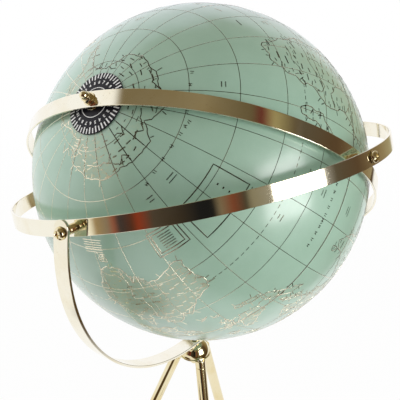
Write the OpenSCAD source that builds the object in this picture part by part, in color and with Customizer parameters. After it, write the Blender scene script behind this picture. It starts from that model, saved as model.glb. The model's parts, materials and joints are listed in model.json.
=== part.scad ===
// Desktop globe on a stand: a globe carried at its poles in a two-ring
// gimbal, on a half-round yoke bolted to a domed tripod hub.
// Origin: on the surface it stands on, under the centre of the globe. +Z up.
// The yoke lies in the X-Z plane and one leg points near +X.

/* [Globe] */
// Diameter of the globe
globe_d = 250; // [200:2:320]
// Wall of the globe's two half shells
shell_t = 3; // [2:0.5:5]
// Half height of the collar that joins the half shells inside
collar_h = 9; // [6:1:16]
// Wall of the collar
collar_t = 2; // [1.5:0.5:4]

/* [Rings and yoke] */
// Gap from the globe to the inner ring
inner_gap = 4.5; // [4.5:0.5:8]
// Gap from the inner ring to the outer ring
ring_gap = 10.5; // [10.5:0.5:16]
// Gap from the outer ring to the yoke
yoke_gap = 9; // [8:0.5:16]
// Thickness of both rings' strip
ring_t = 1.5; // [1.2:0.1:2.5]
// Width of both rings' strip
ring_w = 11.5; // [10:0.5:16]
// Thickness of the yoke's strip
yoke_t = 2; // [1.6:0.2:3]
// Width of the yoke's strip
yoke_w = 12; // [12:0.5:18]
// Height of the yoke's rounded ends above its pivots
yoke_end = 9; // [7:0.5:14]
// Width of the seam where a ring's strip ends meet
seam_w = 0.3; // [0.2:0.1:0.6]
// Depth of that seam
seam_depth = 0.5; // [0.2:0.1:0.8]

/* [Pose] */
// Turn of the yoke round the globe's centre, on its seat
yoke_turn = 6; // [0:1:10]
// Tilt of the outer ring about the yoke's pivots
outer_tilt = 21; // [0:1:60]
// Tilt of the inner ring about the outer ring's pivots
inner_tilt = 35.5; // [0:0.5:60]
// Turn of the poles along the inner ring, from square to its pivots
pole_turn = 2.4; // [0:0.1:6]

/* [Pivots] */
// Diameter of the pivot screws
screw_d = 4; // [3:0.5:4]
// Diameter of the pivot screws' heads
head_d = 8; // [7:0.5:9]
// Height of the pivot screws' heads
head_h = 2.6; // [2:0.2:3.2]
// Depth of the screws' cross recess
recess_depth = 1.3; // [0.8:0.1:1.6]
// Diameter of the pivot washers
washer_d = 9; // [8:0.5:11]
// Thickness of the pivot washers
washer_t = 0.5; // [0.4:0.1:1]
// Diameter of the pivot bosses between the rings
boss_d = 6.5; // [6:0.5:9]
// Diameter of a boss's riveted spigot
spigot_d = 5; // [4.8:0.2:5.6]
// Depth that a pivot screw enters its boss
thread_depth = 6; // [4:0.5:6.5]

/* [Poles] */
// Diameter of the rod through the globe
axle_d = 4; // [3:0.5:4]
// Diameter of the bearings in the globe's poles
bearing_d = 10; // [8:0.5:14]
// Diameter of the bearings' inner flange
bearing_flange_d = 15; // [12:1:20]
// Thickness of that flange
bearing_flange_t = 2.5; // [1.5:0.5:4]
// Diameter of the spacers between globe and inner ring
spacer_d = 8; // [7:0.5:9]
// Diameter of the spacers' collar over the dial
spacer_collar_d = 12; // [10:0.5:14]
// Thickness of that collar
spacer_collar_t = 0.8; // [0.6:0.1:1]
// Diameter of the hour dial
dial_d = 44; // [36:1:60]
// Thickness of the hour dial
dial_t = 1; // [0.8:0.1:1.2]
// Diameter of the washers under the cap nuts
pole_washer_d = 9; // [8:0.5:11]
// Thickness of those washers
pole_washer_t = 0.8; // [0.5:0.1:1]
// Width across flats of the cap nuts
cap_af = 7; // [6.5:0.5:8]
// Height of the cap nuts' hexagon
cap_hex_h = 3.4; // [2.8:0.2:4]
// Height of a cap nut
cap_h = 8; // [7:0.2:8]
// Diameter of the cap nuts' dome
cap_dome_d = 5.6; // [5:0.2:6.4]

/* [Hub] */
// Height of the hub's underside above the surface
stand_h = 162; // [110:2:240]
// Height of the hub from its underside to the yoke
hub_h = 13.2; // [12:0.2:15]
// Diameter of the hub's dome
dome_d = 25; // [24:0.5:26]
// Diameter of the rim round the dome's foot
rim_d = 26.6; // [26.2:0.2:36]
// Height of that rim
rim_h = 1.4; // [1:0.1:3]
// Diameter of the bolt through yoke and hub
bolt_d = 5; // [4:0.5:6]
// Diameter of the bolt's head
bolt_head_d = 9.6; // [8.5:0.2:11.5]
// Height of the bolt's head
bolt_head_h = 2.4; // [2:0.2:3]
// Diameter of the washer under the hub
hub_washer_d = 11; // [9.5:0.5:13]
// Thickness of that washer
hub_washer_t = 1; // [0.6:0.2:2]
// Width across flats of the cap nut under the hub
hub_nut_af = 8; // [8:0.5:10]
// Height of that nut's hexagon
hub_nut_hex_h = 4; // [3:0.5:6]
// Height of that nut
hub_nut_h = 9.5; // [8.5:0.5:12]
// Diameter of that nut's dome
hub_nut_dome_d = 7; // [6:0.2:8]

/* [Legs] */
// Turn of the tripod under the yoke
tripod_turn = -3; // [-30:1:30]
// Diameter of the legs
leg_d = 8.5; // [7:0.5:10]
// Angle of the legs from upright
leg_splay = 19; // [12:1:30]
// Distance of the legs' axes from the hub's axis at the hub's underside
leg_root_r = 13.3; // [11.5:0.1:14]
// Length of the hub's leg stubs below its underside
stub_len = 5; // [3:0.5:9]
// Height of the stubs' flat tops above the underside
stub_top = 1; // [0.6:0.2:1.4]
// Diameter of the studs that hold the legs
stud_d = 5; // [3:0.5:5]
// Length of those studs
stud_len = 14; // [8:1:16]
// Diameter of the rubber feet
foot_d = 12; // [11:0.5:16]
// Length of leg that a foot grips
foot_grip = 9; // [6:1:20]
// Length of rubber under a leg's end
foot_sole = 5; // [4.5:0.5:9]

/* [Hidden] */
$fn = 96;

// Clearances: running on a pin, between faces that turn past each other,
// and between pieces that are pressed or screwed together
run_gap = 0.05;
face_gap = 0.3;
seat_gap = 0.02;

// Radii from the globe's centre outwards
globe_r = globe_d / 2;
shell_in = globe_r - shell_t;
inner_in = globe_r + inner_gap;
inner_out = inner_in + ring_t;
outer_in = inner_out + ring_gap;
outer_out = outer_in + ring_t;
yoke_in = outer_out + yoke_gap;
yoke_out = yoke_in + yoke_t;

// Half length of the rod through the globe, ending inside the cap nuts
axle_half = inner_out + pole_washer_t + cap_hex_h;

// Heights above the surface
centre_z = stand_h + hub_h + yoke_out;

// Distances down a leg's axis to the surface and to the leg's end
floor_s = stand_h / cos(leg_splay);
leg_end_s = floor_s - foot_sole;

// Where the strip ends of each ring meet
outer_seam = -44;
inner_seam = 45;

// Directions of the three legs
right_leg = tripod_turn;
back_leg = tripod_turn + 120;
front_leg = tripod_turn - 120;

overcut = 1;

// Height at which a flat face of half width half rests inside a curve of radius r
function flat_on(r, half) = sqrt(r * r - half * half);

// Frame of the yoke: origin at the globe's centre, pivots on the X axis
module yoke_frame() {
  translate([0, 0, centre_z])
    rotate([0, yoke_turn, 0])
      children();
}

// Frame of the outer ring: yoke's pivots on X, inner ring's pivots on Y
module outer_frame() {
  yoke_frame()
    rotate([-outer_tilt, 0, 0])
      children();
}

// Frame of the inner ring: pivots on Y
module inner_frame() {
  outer_frame()
    rotate([0, inner_tilt, 0])
      children();
}

// Frame of the poles: both on X, in the inner ring's plane
module polar_frame() {
  inner_frame()
    rotate([0, 0, pole_turn])
      children();
}

// Frame of the globe: +Z through its north pole
module globe_frame() {
  polar_frame()
    rotate([0, 90, 0])
      children();
}

// Both ends of the X axis, with +Z of the children pointing outwards
module both_x_ends() {
  for (side = [0, 180])
    rotate([0, 0, side])
      rotate([0, 90, 0])
        children();
}

// Both ends of the Y axis, with +Z of the children pointing outwards
module both_y_ends() {
  rotate([0, 0, 90])
    both_x_ends()
      children();
}

// Frame of a leg: origin where its axis meets the hub's underside, +Z down the leg
module leg_frame(direction) {
  rotate([0, 0, direction])
    translate([leg_root_r, 0, stand_h])
      rotate([0, 180 - leg_splay, 0])
        children();
}

// A round piece from height low to height high
module rod(d, low, high) {
  translate([0, 0, low])
    cylinder(d = d, h = high - low);
}

// A strip bent to a full circle, with square edges
module band(r_in, r_out, w) {
  difference() {
    translate([0, 0, -w / 2])
      cylinder(r = r_out, h = w, $fn = 180);
    translate([0, 0, -w / 2 - overcut])
      cylinder(r = r_in, h = w + 2 * overcut, $fn = 180);
  }
}

// The fine joint between a strip's ends, cut into the band's inner face
module seam(r_in, w, direction) {
  rotate([0, 0, direction])
    translate([r_in - overcut, -seam_w / 2, -w / 2 - overcut])
      cube([overcut + seam_depth, seam_w, w + 2 * overcut]);
}

// A pan-head screw: head from height seat outwards, shank inwards
module pan_screw(d, head, height, seat, shank_end) {
  edge_r = height * 0.45;
  difference() {
    union() {
      rod(d, shank_end, seat + height / 2);
      translate([0, 0, seat])
        rotate_extrude()
          intersection() {
            square([head / 2, height]);
            union() {
              square([head / 2 - edge_r, height]);
              translate([head / 2 - edge_r, height - edge_r])
                circle(r = edge_r, $fn = 48);
              square([head / 2, height - edge_r]);
            }
          }
    }
    cross_recess(seat + height, head * 0.56);
  }
}

// The cross that a screwdriver enters
module cross_recess(top, span) {
  slot_w = span * 0.24;
  for (turn = [0, 90])
    rotate([0, 0, turn])
      translate([-span / 2, -slot_w / 2, top - recess_depth])
        cube([span, slot_w, recess_depth + overcut]);
}

// A plain washer
module washer(d, bore, low, thickness) {
  difference() {
    rod(d, low, low + thickness);
    rod(bore, low - overcut, low + thickness + overcut);
  }
}

// A cap nut: hexagon, neck and dome, with a blind bore
module cap_nut(af, hex_h, height, dome_d, bore, seat, bore_depth) {
  difference() {
    union() {
      intersection() {
        translate([0, 0, seat])
          cylinder(d = af / cos(30), h = hex_h, $fn = 6);
        translate([0, 0, seat])
          rotate_extrude()
            polygon([
              [0, 0], [af / 2, 0], [af / cos(30) / 2, hex_h * 0.15],
              [af / cos(30) / 2, hex_h * 0.8], [af / 2 * 0.98, hex_h], [0, hex_h]
            ]);
      }
      rod(dome_d, seat + hex_h / 2, seat + height - dome_d / 2);
      translate([0, 0, seat + height - dome_d / 2])
        sphere(d = dome_d);
    }
    rod(bore, seat - overcut, seat + bore_depth);
  }
}

// A boss riveted to a ring: spigot through the ring, shoulder on its outer
// face, free end just short of the next strip, bored for a screw
module pivot_boss(ring_in, ring_out, next_in) {
  free_end = flat_on(next_in, boss_d / 2) - face_gap;
  difference() {
    union() {
      rod(spigot_d - 2 * seat_gap, flat_on(ring_in, spigot_d / 2), ring_out + overcut);
      rod(boss_d, ring_out, free_end);
    }
    rod(screw_d + 2 * seat_gap, free_end - thread_depth - seat_gap, free_end + overcut);
  }
}

// A pivot screw: its head outside the strip of outer radius strip_out, its
// shank through that strip and into the boss below next_in
module pivot_screw(strip_out, next_in) {
  boss_end = flat_on(next_in, boss_d / 2) - face_gap;
  seat = strip_out + face_gap + washer_t;
  pan_screw(screw_d, head_d, head_h, seat, boss_end - thread_depth);
}

module hub() {
  color([0.86, 0.74, 0.46])
    difference() {
      union() {
        intersection() {
          translate([0, 0, stand_h + rim_h])
            sphere(d = dome_d);
          rod(dome_d + 2 * overcut, stand_h, stand_h + rim_h + dome_d);
        }
        rod(rim_d, stand_h, stand_h + rim_h);
        for (direction = [right_leg, back_leg, front_leg])
          leg_frame(direction)
            rod(leg_d, -stub_top, stub_len);
      }
      yoke_frame()
        rotate([90, 0, 0])
          translate([0, 0, -dome_d])
            cylinder(r = yoke_out, h = 2 * dome_d, $fn = 180);
      rod(bolt_d + 2 * seat_gap, 0, centre_z);
      for (direction = [right_leg, back_leg, front_leg])
        leg_frame(direction)
          rod(stud_d + 2 * seat_gap, stub_len - stud_len / 2 - seat_gap, stub_len + overcut);
    }
}

module leg(direction) {
  color([0.87, 0.76, 0.5])
    leg_frame(direction)
      difference() {
        rod(leg_d, stub_len, leg_end_s);
        rod(stud_d + 2 * seat_gap, stub_len - overcut, stub_len + stud_len / 2 + seat_gap);
      }
}

module leg_right() {
  leg(right_leg);
}

module leg_front() {
  leg(front_leg);
}

module leg_back() {
  leg(back_leg);
}

module leg_studs() {
  color([0.62, 0.63, 0.66])
    for (direction = [right_leg, back_leg, front_leg])
      leg_frame(direction)
        rod(stud_d, stub_len - stud_len / 2, stub_len + stud_len / 2);
}

module foot(direction) {
  color([0.13, 0.12, 0.12])
    difference() {
      leg_frame(direction)
        difference() {
          rod(foot_d, leg_end_s - foot_grip, floor_s + foot_d);
          rod(leg_d + 2 * seat_gap, leg_end_s - foot_grip - overcut, leg_end_s + seat_gap);
        }
      translate([0, 0, -2 * foot_d])
        cylinder(r = floor_s, h = 2 * foot_d);
    }
}

module foot_right() {
  foot(right_leg);
}

module foot_front() {
  foot(front_leg);
}

module foot_back() {
  foot(back_leg);
}

module yoke() {
  round_z = yoke_end - yoke_w / 2;
  color([0.9, 0.8, 0.55])
    difference() {
      yoke_frame()
        difference() {
          intersection() {
            rotate([90, 0, 0])
              band(yoke_in, yoke_out, yoke_w);
            union() {
              translate([-yoke_out - overcut, -yoke_w, -yoke_out - overcut])
                cube([2 * (yoke_out + overcut), 2 * yoke_w, yoke_out + overcut + round_z]);
              translate([-yoke_out - overcut, 0, round_z])
                rotate([0, 90, 0])
                  cylinder(d = yoke_w, h = 2 * (yoke_out + overcut));
            }
          }
          both_x_ends()
            rod(screw_d + 2 * run_gap, yoke_in - 2 * overcut, yoke_out + overcut);
        }
      rod(bolt_d + 2 * seat_gap, 0, centre_z);
    }
}

module yoke_bolt() {
  color([0.8, 0.68, 0.42])
    pan_screw(
      bolt_d, bolt_head_d, bolt_head_h,
      centre_z - flat_on(yoke_in, bolt_head_d / 2),
      stand_h - hub_washer_t - hub_nut_hex_h
    );
}

module hub_washer() {
  color([0.8, 0.68, 0.42])
    washer(hub_washer_d, bolt_d + 2 * seat_gap, stand_h - hub_washer_t, hub_washer_t);
}

module hub_nut() {
  color([0.78, 0.64, 0.36])
    translate([0, 0, stand_h - hub_washer_t])
      rotate([180, 0, 0])
        cap_nut(
          hub_nut_af, hub_nut_hex_h, hub_nut_h, hub_nut_dome_d,
          bolt_d + 2 * seat_gap, 0, hub_nut_hex_h + seat_gap
        );
}

module outer_ring() {
  color([0.88, 0.78, 0.52])
    outer_frame()
      difference() {
        band(outer_in, outer_out, ring_w);
        both_x_ends()
          rod(spigot_d, outer_in - overcut, outer_out + overcut);
        both_y_ends()
          rod(screw_d + 2 * run_gap, outer_in - overcut, outer_out + overcut);
        seam(outer_in, ring_w, outer_seam);
      }
}

module outer_bosses() {
  color([0.84, 0.72, 0.44])
    outer_frame()
      both_x_ends()
        pivot_boss(outer_in, outer_out, yoke_in);
}

module outer_washers() {
  color([0.82, 0.7, 0.42])
    outer_frame()
      both_x_ends()
        washer(washer_d, screw_d + 2 * seat_gap, yoke_out + face_gap, washer_t);
}

module outer_screws() {
  color([0.74, 0.62, 0.36])
    outer_frame()
      both_x_ends()
        pivot_screw(yoke_out, yoke_in);
}

module inner_ring() {
  color([0.88, 0.78, 0.52])
    inner_frame()
      difference() {
        band(inner_in, inner_out, ring_w);
        both_y_ends()
          rod(spigot_d, inner_in - overcut, inner_out + overcut);
        rotate([0, 0, pole_turn])
          both_x_ends()
            rod(axle_d + 2 * seat_gap, inner_in - overcut, inner_out + overcut);
        seam(inner_in, ring_w, inner_seam);
      }
}

module inner_bosses() {
  color([0.84, 0.72, 0.44])
    inner_frame()
      both_y_ends()
        pivot_boss(inner_in, inner_out, outer_in);
}

module inner_washers() {
  color([0.82, 0.7, 0.42])
    inner_frame()
      both_y_ends()
        washer(washer_d, screw_d + 2 * seat_gap, outer_out + face_gap, washer_t);
}

module inner_screws() {
  color([0.74, 0.62, 0.36])
    inner_frame()
      both_y_ends()
        pivot_screw(outer_out, outer_in);
}

module axle_rod() {
  color([0.66, 0.66, 0.69])
    globe_frame()
      rod(axle_d, -axle_half, axle_half);
}

module pole_spacers() {
  inner_end = globe_r + face_gap;
  outer_end = flat_on(inner_in, spacer_d / 2);
  collar_low = globe_r + dial_t + 2 * face_gap;
  color([0.86, 0.75, 0.48])
    polar_frame()
      both_x_ends()
        difference() {
          union() {
            rod(spacer_d, inner_end, outer_end);
            rod(spacer_collar_d, collar_low, collar_low + spacer_collar_t);
          }
          rod(axle_d + 2 * seat_gap, inner_end - overcut, outer_end + overcut);
        }
}

module pole_washers() {
  color([0.82, 0.7, 0.42])
    polar_frame()
      both_x_ends()
        washer(pole_washer_d, axle_d + 2 * seat_gap, inner_out, pole_washer_t);
}

module pole_nuts() {
  color([0.76, 0.62, 0.34])
    polar_frame()
      both_x_ends()
        cap_nut(
          cap_af, cap_hex_h, cap_h, cap_dome_d,
          axle_d + 2 * seat_gap, inner_out + pole_washer_t, cap_hex_h + seat_gap
        );
}

// Half of the globe, from the equator to the pole on +Z
module half_shell() {
  difference() {
    intersection() {
      sphere(r = globe_r, $fn = 180);
      translate([-globe_d, -globe_d, 0])
        cube([2 * globe_d, 2 * globe_d, globe_d]);
    }
    sphere(r = shell_in, $fn = 180);
    rod(bearing_d, 0, globe_d);
  }
}

module globe_north() {
  color([0.66, 0.78, 0.71])
    globe_frame()
      half_shell();
}

module globe_south() {
  color([0.66, 0.78, 0.71])
    globe_frame()
      rotate([180, 0, 0])
        half_shell();
}

module equator_collar() {
  color([0.8, 0.78, 0.72])
    globe_frame()
      difference() {
        intersection() {
          sphere(r = shell_in - seat_gap, $fn = 180);
          rod(globe_d, -collar_h, collar_h);
        }
        rod(2 * (shell_in - collar_t), -globe_r, globe_r);
      }
}

module pole_bearings() {
  flange_out = flat_on(shell_in, bearing_flange_d / 2) - seat_gap;
  color([0.93, 0.92, 0.88])
    polar_frame()
      both_x_ends()
        difference() {
          union() {
            rod(bearing_d - 2 * seat_gap, flange_out - bearing_flange_t, flat_on(globe_r, bearing_d / 2));
            rod(bearing_flange_d, flange_out - bearing_flange_t, flange_out);
          }
          rod(axle_d + 2 * run_gap, flange_out - bearing_flange_t - overcut, globe_r + overcut);
        }
}

module hour_dial() {
  color([0.06, 0.06, 0.07])
    globe_frame()
      rotate([180, 0, 0])
        difference() {
          intersection() {
            sphere(r = globe_r + face_gap + dial_t, $fn = 180);
            rod(dial_d, 0, globe_d);
          }
          sphere(r = globe_r + face_gap, $fn = 180);
          rod(spacer_d + 2 * face_gap, 0, globe_d);
        }
}

hub();
leg_right();
leg_front();
leg_back();
leg_studs();
foot_right();
foot_front();
foot_back();
yoke();
yoke_bolt();
hub_washer();
hub_nut();
outer_ring();
outer_bosses();
outer_washers();
outer_screws();
inner_ring();
inner_bosses();
inner_washers();
inner_screws();
axle_rod();
pole_spacers();
pole_washers();
pole_nuts();
globe_north();
globe_south();
equator_collar();
pole_bearings();
hour_dial();
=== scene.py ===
"""Desktop globe on a stand, dressed over its CAD frame.

Every sub-assembly is a class that holds its sizes and builds its own pieces:
the tripod, the yoke, the two gimbal rings, the poles' hardware, the globe's
shells, the foil map printed on them and the hour dial. All sizes are metres.
"""

import json
import logging
import math
import random
from dataclasses import dataclass, field
from enum import Enum
from typing import Callable, Optional, Sequence, Union

import bmesh
import bpy
import numpy as np
from mathutils import Matrix, Vector


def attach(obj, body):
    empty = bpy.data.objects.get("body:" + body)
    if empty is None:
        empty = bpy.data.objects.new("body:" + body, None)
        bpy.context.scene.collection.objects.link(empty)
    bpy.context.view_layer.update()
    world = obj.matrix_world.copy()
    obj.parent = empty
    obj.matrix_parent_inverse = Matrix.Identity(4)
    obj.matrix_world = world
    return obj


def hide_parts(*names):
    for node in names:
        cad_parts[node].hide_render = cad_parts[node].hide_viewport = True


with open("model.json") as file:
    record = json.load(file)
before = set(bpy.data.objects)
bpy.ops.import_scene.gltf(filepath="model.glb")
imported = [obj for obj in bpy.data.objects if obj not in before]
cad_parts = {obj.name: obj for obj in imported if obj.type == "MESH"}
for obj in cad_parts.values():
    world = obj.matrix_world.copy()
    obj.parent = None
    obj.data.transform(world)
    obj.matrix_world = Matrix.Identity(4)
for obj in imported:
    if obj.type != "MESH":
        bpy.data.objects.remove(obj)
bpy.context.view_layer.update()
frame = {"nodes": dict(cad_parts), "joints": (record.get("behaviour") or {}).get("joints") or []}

MM = 0.001
TAU = 2 * math.pi
GLOBE_R = 125 * MM
LOG = logging.getLogger("desk_globe")

Corner = tuple[float, float, float]
Profile = list[tuple[float, float]]
Warp = Callable[[Vector], Vector]
Colour = tuple[float, float, float]

WHITE: Colour = (1.0, 1.0, 1.0)


class Body(Enum):
    """The rigid bodies that the pieces ride on."""

    STAND = "stand"
    OUTER = "outer_gimbal"
    INNER = "inner_gimbal"
    GLOBE = "globe"
    DIAL = "dial"


class Slot(Enum):
    """The record's material slots; the pieces here don't use them."""

    STRIP = "brass_strip"
    CAST = "brass_cast"
    TUBE = "brass_tube"
    TURNED = "brass_turned"
    PRINT = "globe_print"
    DIAL = "dial_black"
    FOOT = "foot_rubber"


class Grain(Enum):
    """Which way the fine tool marks of a metal run."""

    ALONG = "along its length"
    AROUND = "around its axis"
    NONE = "cast and buffed"


# ---------------------------------------------------------------- node trees


@dataclass(frozen=True)
class Sock:
    """An output socket that takes part in plain arithmetic."""

    graph: "Graph"
    out: bpy.types.NodeSocket

    def __add__(self, other: "Value") -> "Sock":
        """Adds."""
        return self.graph.math("ADD", self, other)

    def __radd__(self, other: "Value") -> "Sock":
        """Adds, from the right."""
        return self.graph.math("ADD", other, self)

    def __sub__(self, other: "Value") -> "Sock":
        """Subtracts."""
        return self.graph.math("SUBTRACT", self, other)

    def __rsub__(self, other: "Value") -> "Sock":
        """Is subtracted."""
        return self.graph.math("SUBTRACT", other, self)

    def __mul__(self, other: "Value") -> "Sock":
        """Multiplies."""
        return self.graph.math("MULTIPLY", self, other)

    def __truediv__(self, other: "Value") -> "Sock":
        """Divides."""
        return self.graph.math("DIVIDE", self, other)


Value = Union[float, Sock]


class Graph:
    """Builds one node tree, of a material, of the world or of geometry."""

    def __init__(self, tree: bpy.types.NodeTree) -> None:
        """Starts on an emptied tree.

        Args:
            tree: The tree to build in.
        """
        self.tree = tree
        tree.nodes.clear()

    def node(
        self,
        kind: str,
        settings: Optional[dict[str, object]] = None,
        sockets: Optional[dict[Union[int, str], object]] = None,
        output: Union[int, str, None] = 0,
    ) -> Optional[Sock]:
        """Adds one node: its settings first, then its sockets.

        Args:
            kind: The node's type, such as ShaderNodeMath.
            settings: Its properties; "stops" holds a ramp's (place, colour) pairs.
            sockets: Input name or number to a value or to a Sock.
            output: Name or number of the output to return, or None.

        Returns:
            The chosen output, or None for a node without one.
        """
        made = self.tree.nodes.new(kind)
        for key, value in (settings or {}).items():
            if key == "stops":
                self._set_stops(made.color_ramp, value)
            else:
                setattr(made, key, value)
        for key, value in (sockets or {}).items():
            if isinstance(value, Sock):
                self.tree.links.new(value.out, made.inputs[key])
            else:
                made.inputs[key].default_value = value
        return None if output is None else Sock(self, made.outputs[output])

    def _set_stops(
        self, ramp: bpy.types.ColorRamp, stops: Sequence[tuple[float, Colour]]
    ) -> None:
        """Puts the stops on a colour ramp.

        Args:
            ramp: The ramp to fill.
            stops: Pairs of place from 0 to 1 and colour.
        """
        while len(ramp.elements) < len(stops):
            ramp.elements.new(0.5)
        for element, (place, colour) in zip(ramp.elements, stops):
            element.position = place
            element.color = (*colour, 1.0)

    def math(self, operation: str, first: Value, second: Value = 0.0) -> Sock:
        """Adds a Math node and returns its result."""
        return self.node("ShaderNodeMath", {"operation": operation}, {0: first, 1: second})

    def vector_math(
        self,
        operation: str,
        first: object,
        second: object = (0.0, 0.0, 0.0),
        output: str = "Vector",
    ) -> Sock:
        """Adds a Vector Math node and returns its "Vector" or "Value"."""
        settings = {"operation": operation}
        return self.node("ShaderNodeVectorMath", settings, {0: first, 1: second}, output)

    def mix(self, factor: Value, first: Sock, second: Sock) -> Sock:
        """Mixes two shaders by the share of the second."""
        return self.node("ShaderNodeMixShader", {}, {0: factor, 1: first, 2: second})

    def blend(self, factor: Value, first: object, second: object) -> Sock:
        """Mixes two colours, plain or Socks, by the share of the second."""
        pair = {0: factor, 6: self._rgba(first), 7: self._rgba(second)}
        return self.node("ShaderNodeMix", {"data_type": "RGBA", "blend_type": "MIX"}, pair, 2)

    def _rgba(self, colour: object) -> object:
        """Gives a plain colour its alpha and leaves a Sock alone."""
        return colour if isinstance(colour, Sock) else (*colour, 1.0)

    def step(self, value: Sock, low: float, high: float) -> Sock:
        """Rises smoothly from 0 at low to 1 at high."""
        settings = {"interpolation_type": "SMOOTHSTEP"}
        return self.node("ShaderNodeMapRange", settings, {0: value, 1: low, 2: high, 3: 0.0, 4: 1.0})

    def noise(self, where: Sock, scale: float, detail: float = 2.0, rough: float = 0.5) -> Sock:
        """Samples a noise texture at a vector and returns its value."""
        sockets = {"Vector": where, "Scale": scale, "Detail": detail, "Roughness": rough}
        return self.node("ShaderNodeTexNoise", {}, sockets)

    def object_place(self) -> Sock:
        """Returns the Object coordinates."""
        return self.node("ShaderNodeTexCoord", output="Object")

    def stretched(self, where: Sock, scale: tuple[float, float, float]) -> Sock:
        """Scales a vector by axis."""
        return self.vector_math("MULTIPLY", where, scale)

    def bump(self, height: Value, distance: float) -> Sock:
        """Turns a height from 0 to 1, of so many metres, into a normal."""
        sockets = {"Height": height, "Distance": distance, "Strength": 1.0}
        return self.node("ShaderNodeBump", {}, sockets)

    def glow(self, kind: str, colour: object, strength: float = 1.0) -> Sock:
        """Adds a shader that shines by itself: an Emission or a Background."""
        sockets = {"Color": self._rgba(colour), "Strength": strength}
        return self.node("ShaderNode" + kind, {}, sockets)

    def ray(self, kind: str) -> Sock:
        """Is 1 for a ray of a kind, Camera or Glossy, and 0 for the others."""
        return self.node("ShaderNodeLightPath", output=f"Is {kind} Ray")


def add_object(name: str, data: bpy.types.ID) -> bpy.types.Object:
    """Makes an object of some data and links it to the scene."""
    made = bpy.data.objects.new(name, data)
    bpy.context.scene.collection.objects.link(made)
    return made


# ------------------------------------------------------------------ finishes


class Finish:
    """A finish, built as one material round a Principled shader."""

    name: str

    def build(self) -> bpy.types.Material:
        """Builds the material."""
        material = bpy.data.materials.new(self.name)
        material.use_nodes = True
        graph = Graph(material.node_tree)
        shader = graph.node("ShaderNodeBsdfPrincipled", {}, self._nodes(graph))
        graph.node("ShaderNodeOutputMaterial", {}, {"Surface": shader}, None)
        return material

    def _nodes(self, graph: Graph) -> dict[str, object]:
        """Adds the nodes of the finish.

        Args:
            graph: The material's graph.

        Returns:
            The shader's sockets.
        """
        raise NotImplementedError


# Painted in, not a property of the object. The foil is taken to be one gold, which
# mirrors light on one side of the globe and a dark room on the other. This is the way to
# the light side: below, left of and behind the globe, as the main camera stands. The
# paint turns with the globe, as a real reflection wouldn't.
BRIGHT_WAY: Corner = (-0.012, 0.634, -0.774)


def bright_side(graph: Graph, place: Sock, centre: Vector) -> Sock:
    """Says how light a spot of the print is painted, in place of what it would mirror.

    Args:
        graph: The material's graph.
        place: The Object coordinates.
        centre: The globe's centre.

    Returns:
        1 on the light side, round the south pole and Australia, and 0 on the dark one.
    """
    offset = graph.vector_math("SUBTRACT", place, tuple(centre))
    side = graph.vector_math("DOT_PRODUCT", offset, BRIGHT_WAY, "Value")
    drift = graph.noise(place, 22.0, 3.0, 0.6) - 0.5
    return graph.step(side / GLOBE_R + drift * 0.16, -0.43, -0.21)


@dataclass(frozen=True)
class Brass(Finish):
    """Polished, lacquered brass with fine tool marks and a little tarnish."""

    name: str
    colour: Colour = (0.91, 0.87, 0.74)
    deep: Colour = (0.87, 0.80, 0.62)
    roughness: float = 0.045
    grain: Grain = Grain.ALONG
    ripple: float = 0.00012

    def _nodes(self, graph: Graph) -> dict[str, object]:
        """Adds the finish: tarnish clouds, tool marks and the strip's slow ripple."""
        place = graph.object_place()
        clouds = graph.noise(place, 38.0, 3.0, 0.6)
        specks = graph.step(graph.noise(place, 420.0, 2.0), 0.66, 0.8)
        lines = self._lines(graph, place)
        slow = graph.noise(place, 26.0, 1.0)
        colour = graph.blend(graph.step(clouds, 0.35, 0.75), self.colour, self.deep)
        colour = graph.blend(specks * 0.35, colour, (0.55, 0.43, 0.2))
        height = lines * 0.02 + slow + specks * 0.01
        return {
            "Base Color": colour,
            "Metallic": 1.0,
            "Roughness": self.roughness + clouds * 0.03 + lines * 0.03 + specks * 0.1,
            "Normal": graph.bump(height, self.ripple),
        }

    def _lines(self, graph: Graph, place: Sock) -> Sock:
        """Returns the fine marks, stretched the way the grain runs."""
        uv = graph.node("ShaderNodeTexCoord", output="UV")
        if self.grain is Grain.ALONG:
            return graph.noise(graph.stretched(uv, (60.0, 5200.0, 1.0)), 1.0, 2.0)
        if self.grain is Grain.AROUND:
            return graph.noise(graph.stretched(uv, (40.0, 7000.0, 1.0)), 1.0, 1.0)
        return graph.noise(place, 900.0, 2.0)


@dataclass(frozen=True)
class GlobeVarnish(Finish):
    """Mint paper under clear varnish, with gold flecks on land; more flecks and a tan land tint are
    painted on the light side as a painted reflection.
    """

    centre: Vector
    name: str = "mint_varnish"
    ground: Colour = (0.345, 0.525, 0.415)
    shade: Colour = (0.31, 0.485, 0.375)
    fleck: Colour = (0.62, 0.50, 0.27)

    def _nodes(self, graph: Graph) -> dict[str, object]:
        """Adds the mottled ground, the land's flecks and the varnish's pull."""
        place = graph.object_place()
        land = graph.node("ShaderNodeAttribute", {"attribute_name": "land"}, output="Fac")
        mottle = graph.noise(place, 30.0, 4.0, 0.6)
        fibre = graph.noise(place, 1500.0, 2.0)
        relief = graph.noise(place, 520.0, 3.0, 0.7)
        bright = bright_side(graph, place, self.centre)
        # Painted reflection: flecks and the tan land tint grow on the painted light side; a faint share
        # of both stays everywhere on land.
        flecks = graph.step(relief, 0.52, 0.62) * land * (bright * 0.8 + 0.2)
        ground = graph.blend(graph.step(mottle, 0.3, 0.7), self.ground, self.shade)
        ground = graph.blend(graph.step(fibre, 0.45, 0.75) * 0.12, ground, (0.48, 0.62, 0.52))
        ground = graph.blend(land * (bright * 0.13 + 0.02), ground, (0.5, 0.44, 0.29))
        return {
            "Base Color": graph.blend(flecks * 0.5, ground, self.fleck),
            "Metallic": flecks * 0.5,
            "Roughness": 0.38 + mottle * 0.06 - flecks * 0.08,
            "Coat Weight": 1.0,
            "Coat Roughness": 0.2,
            "Coat IOR": 1.6,
            "Normal": graph.bump(fibre * 0.4 + mottle, 0.00003),
        }


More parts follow.
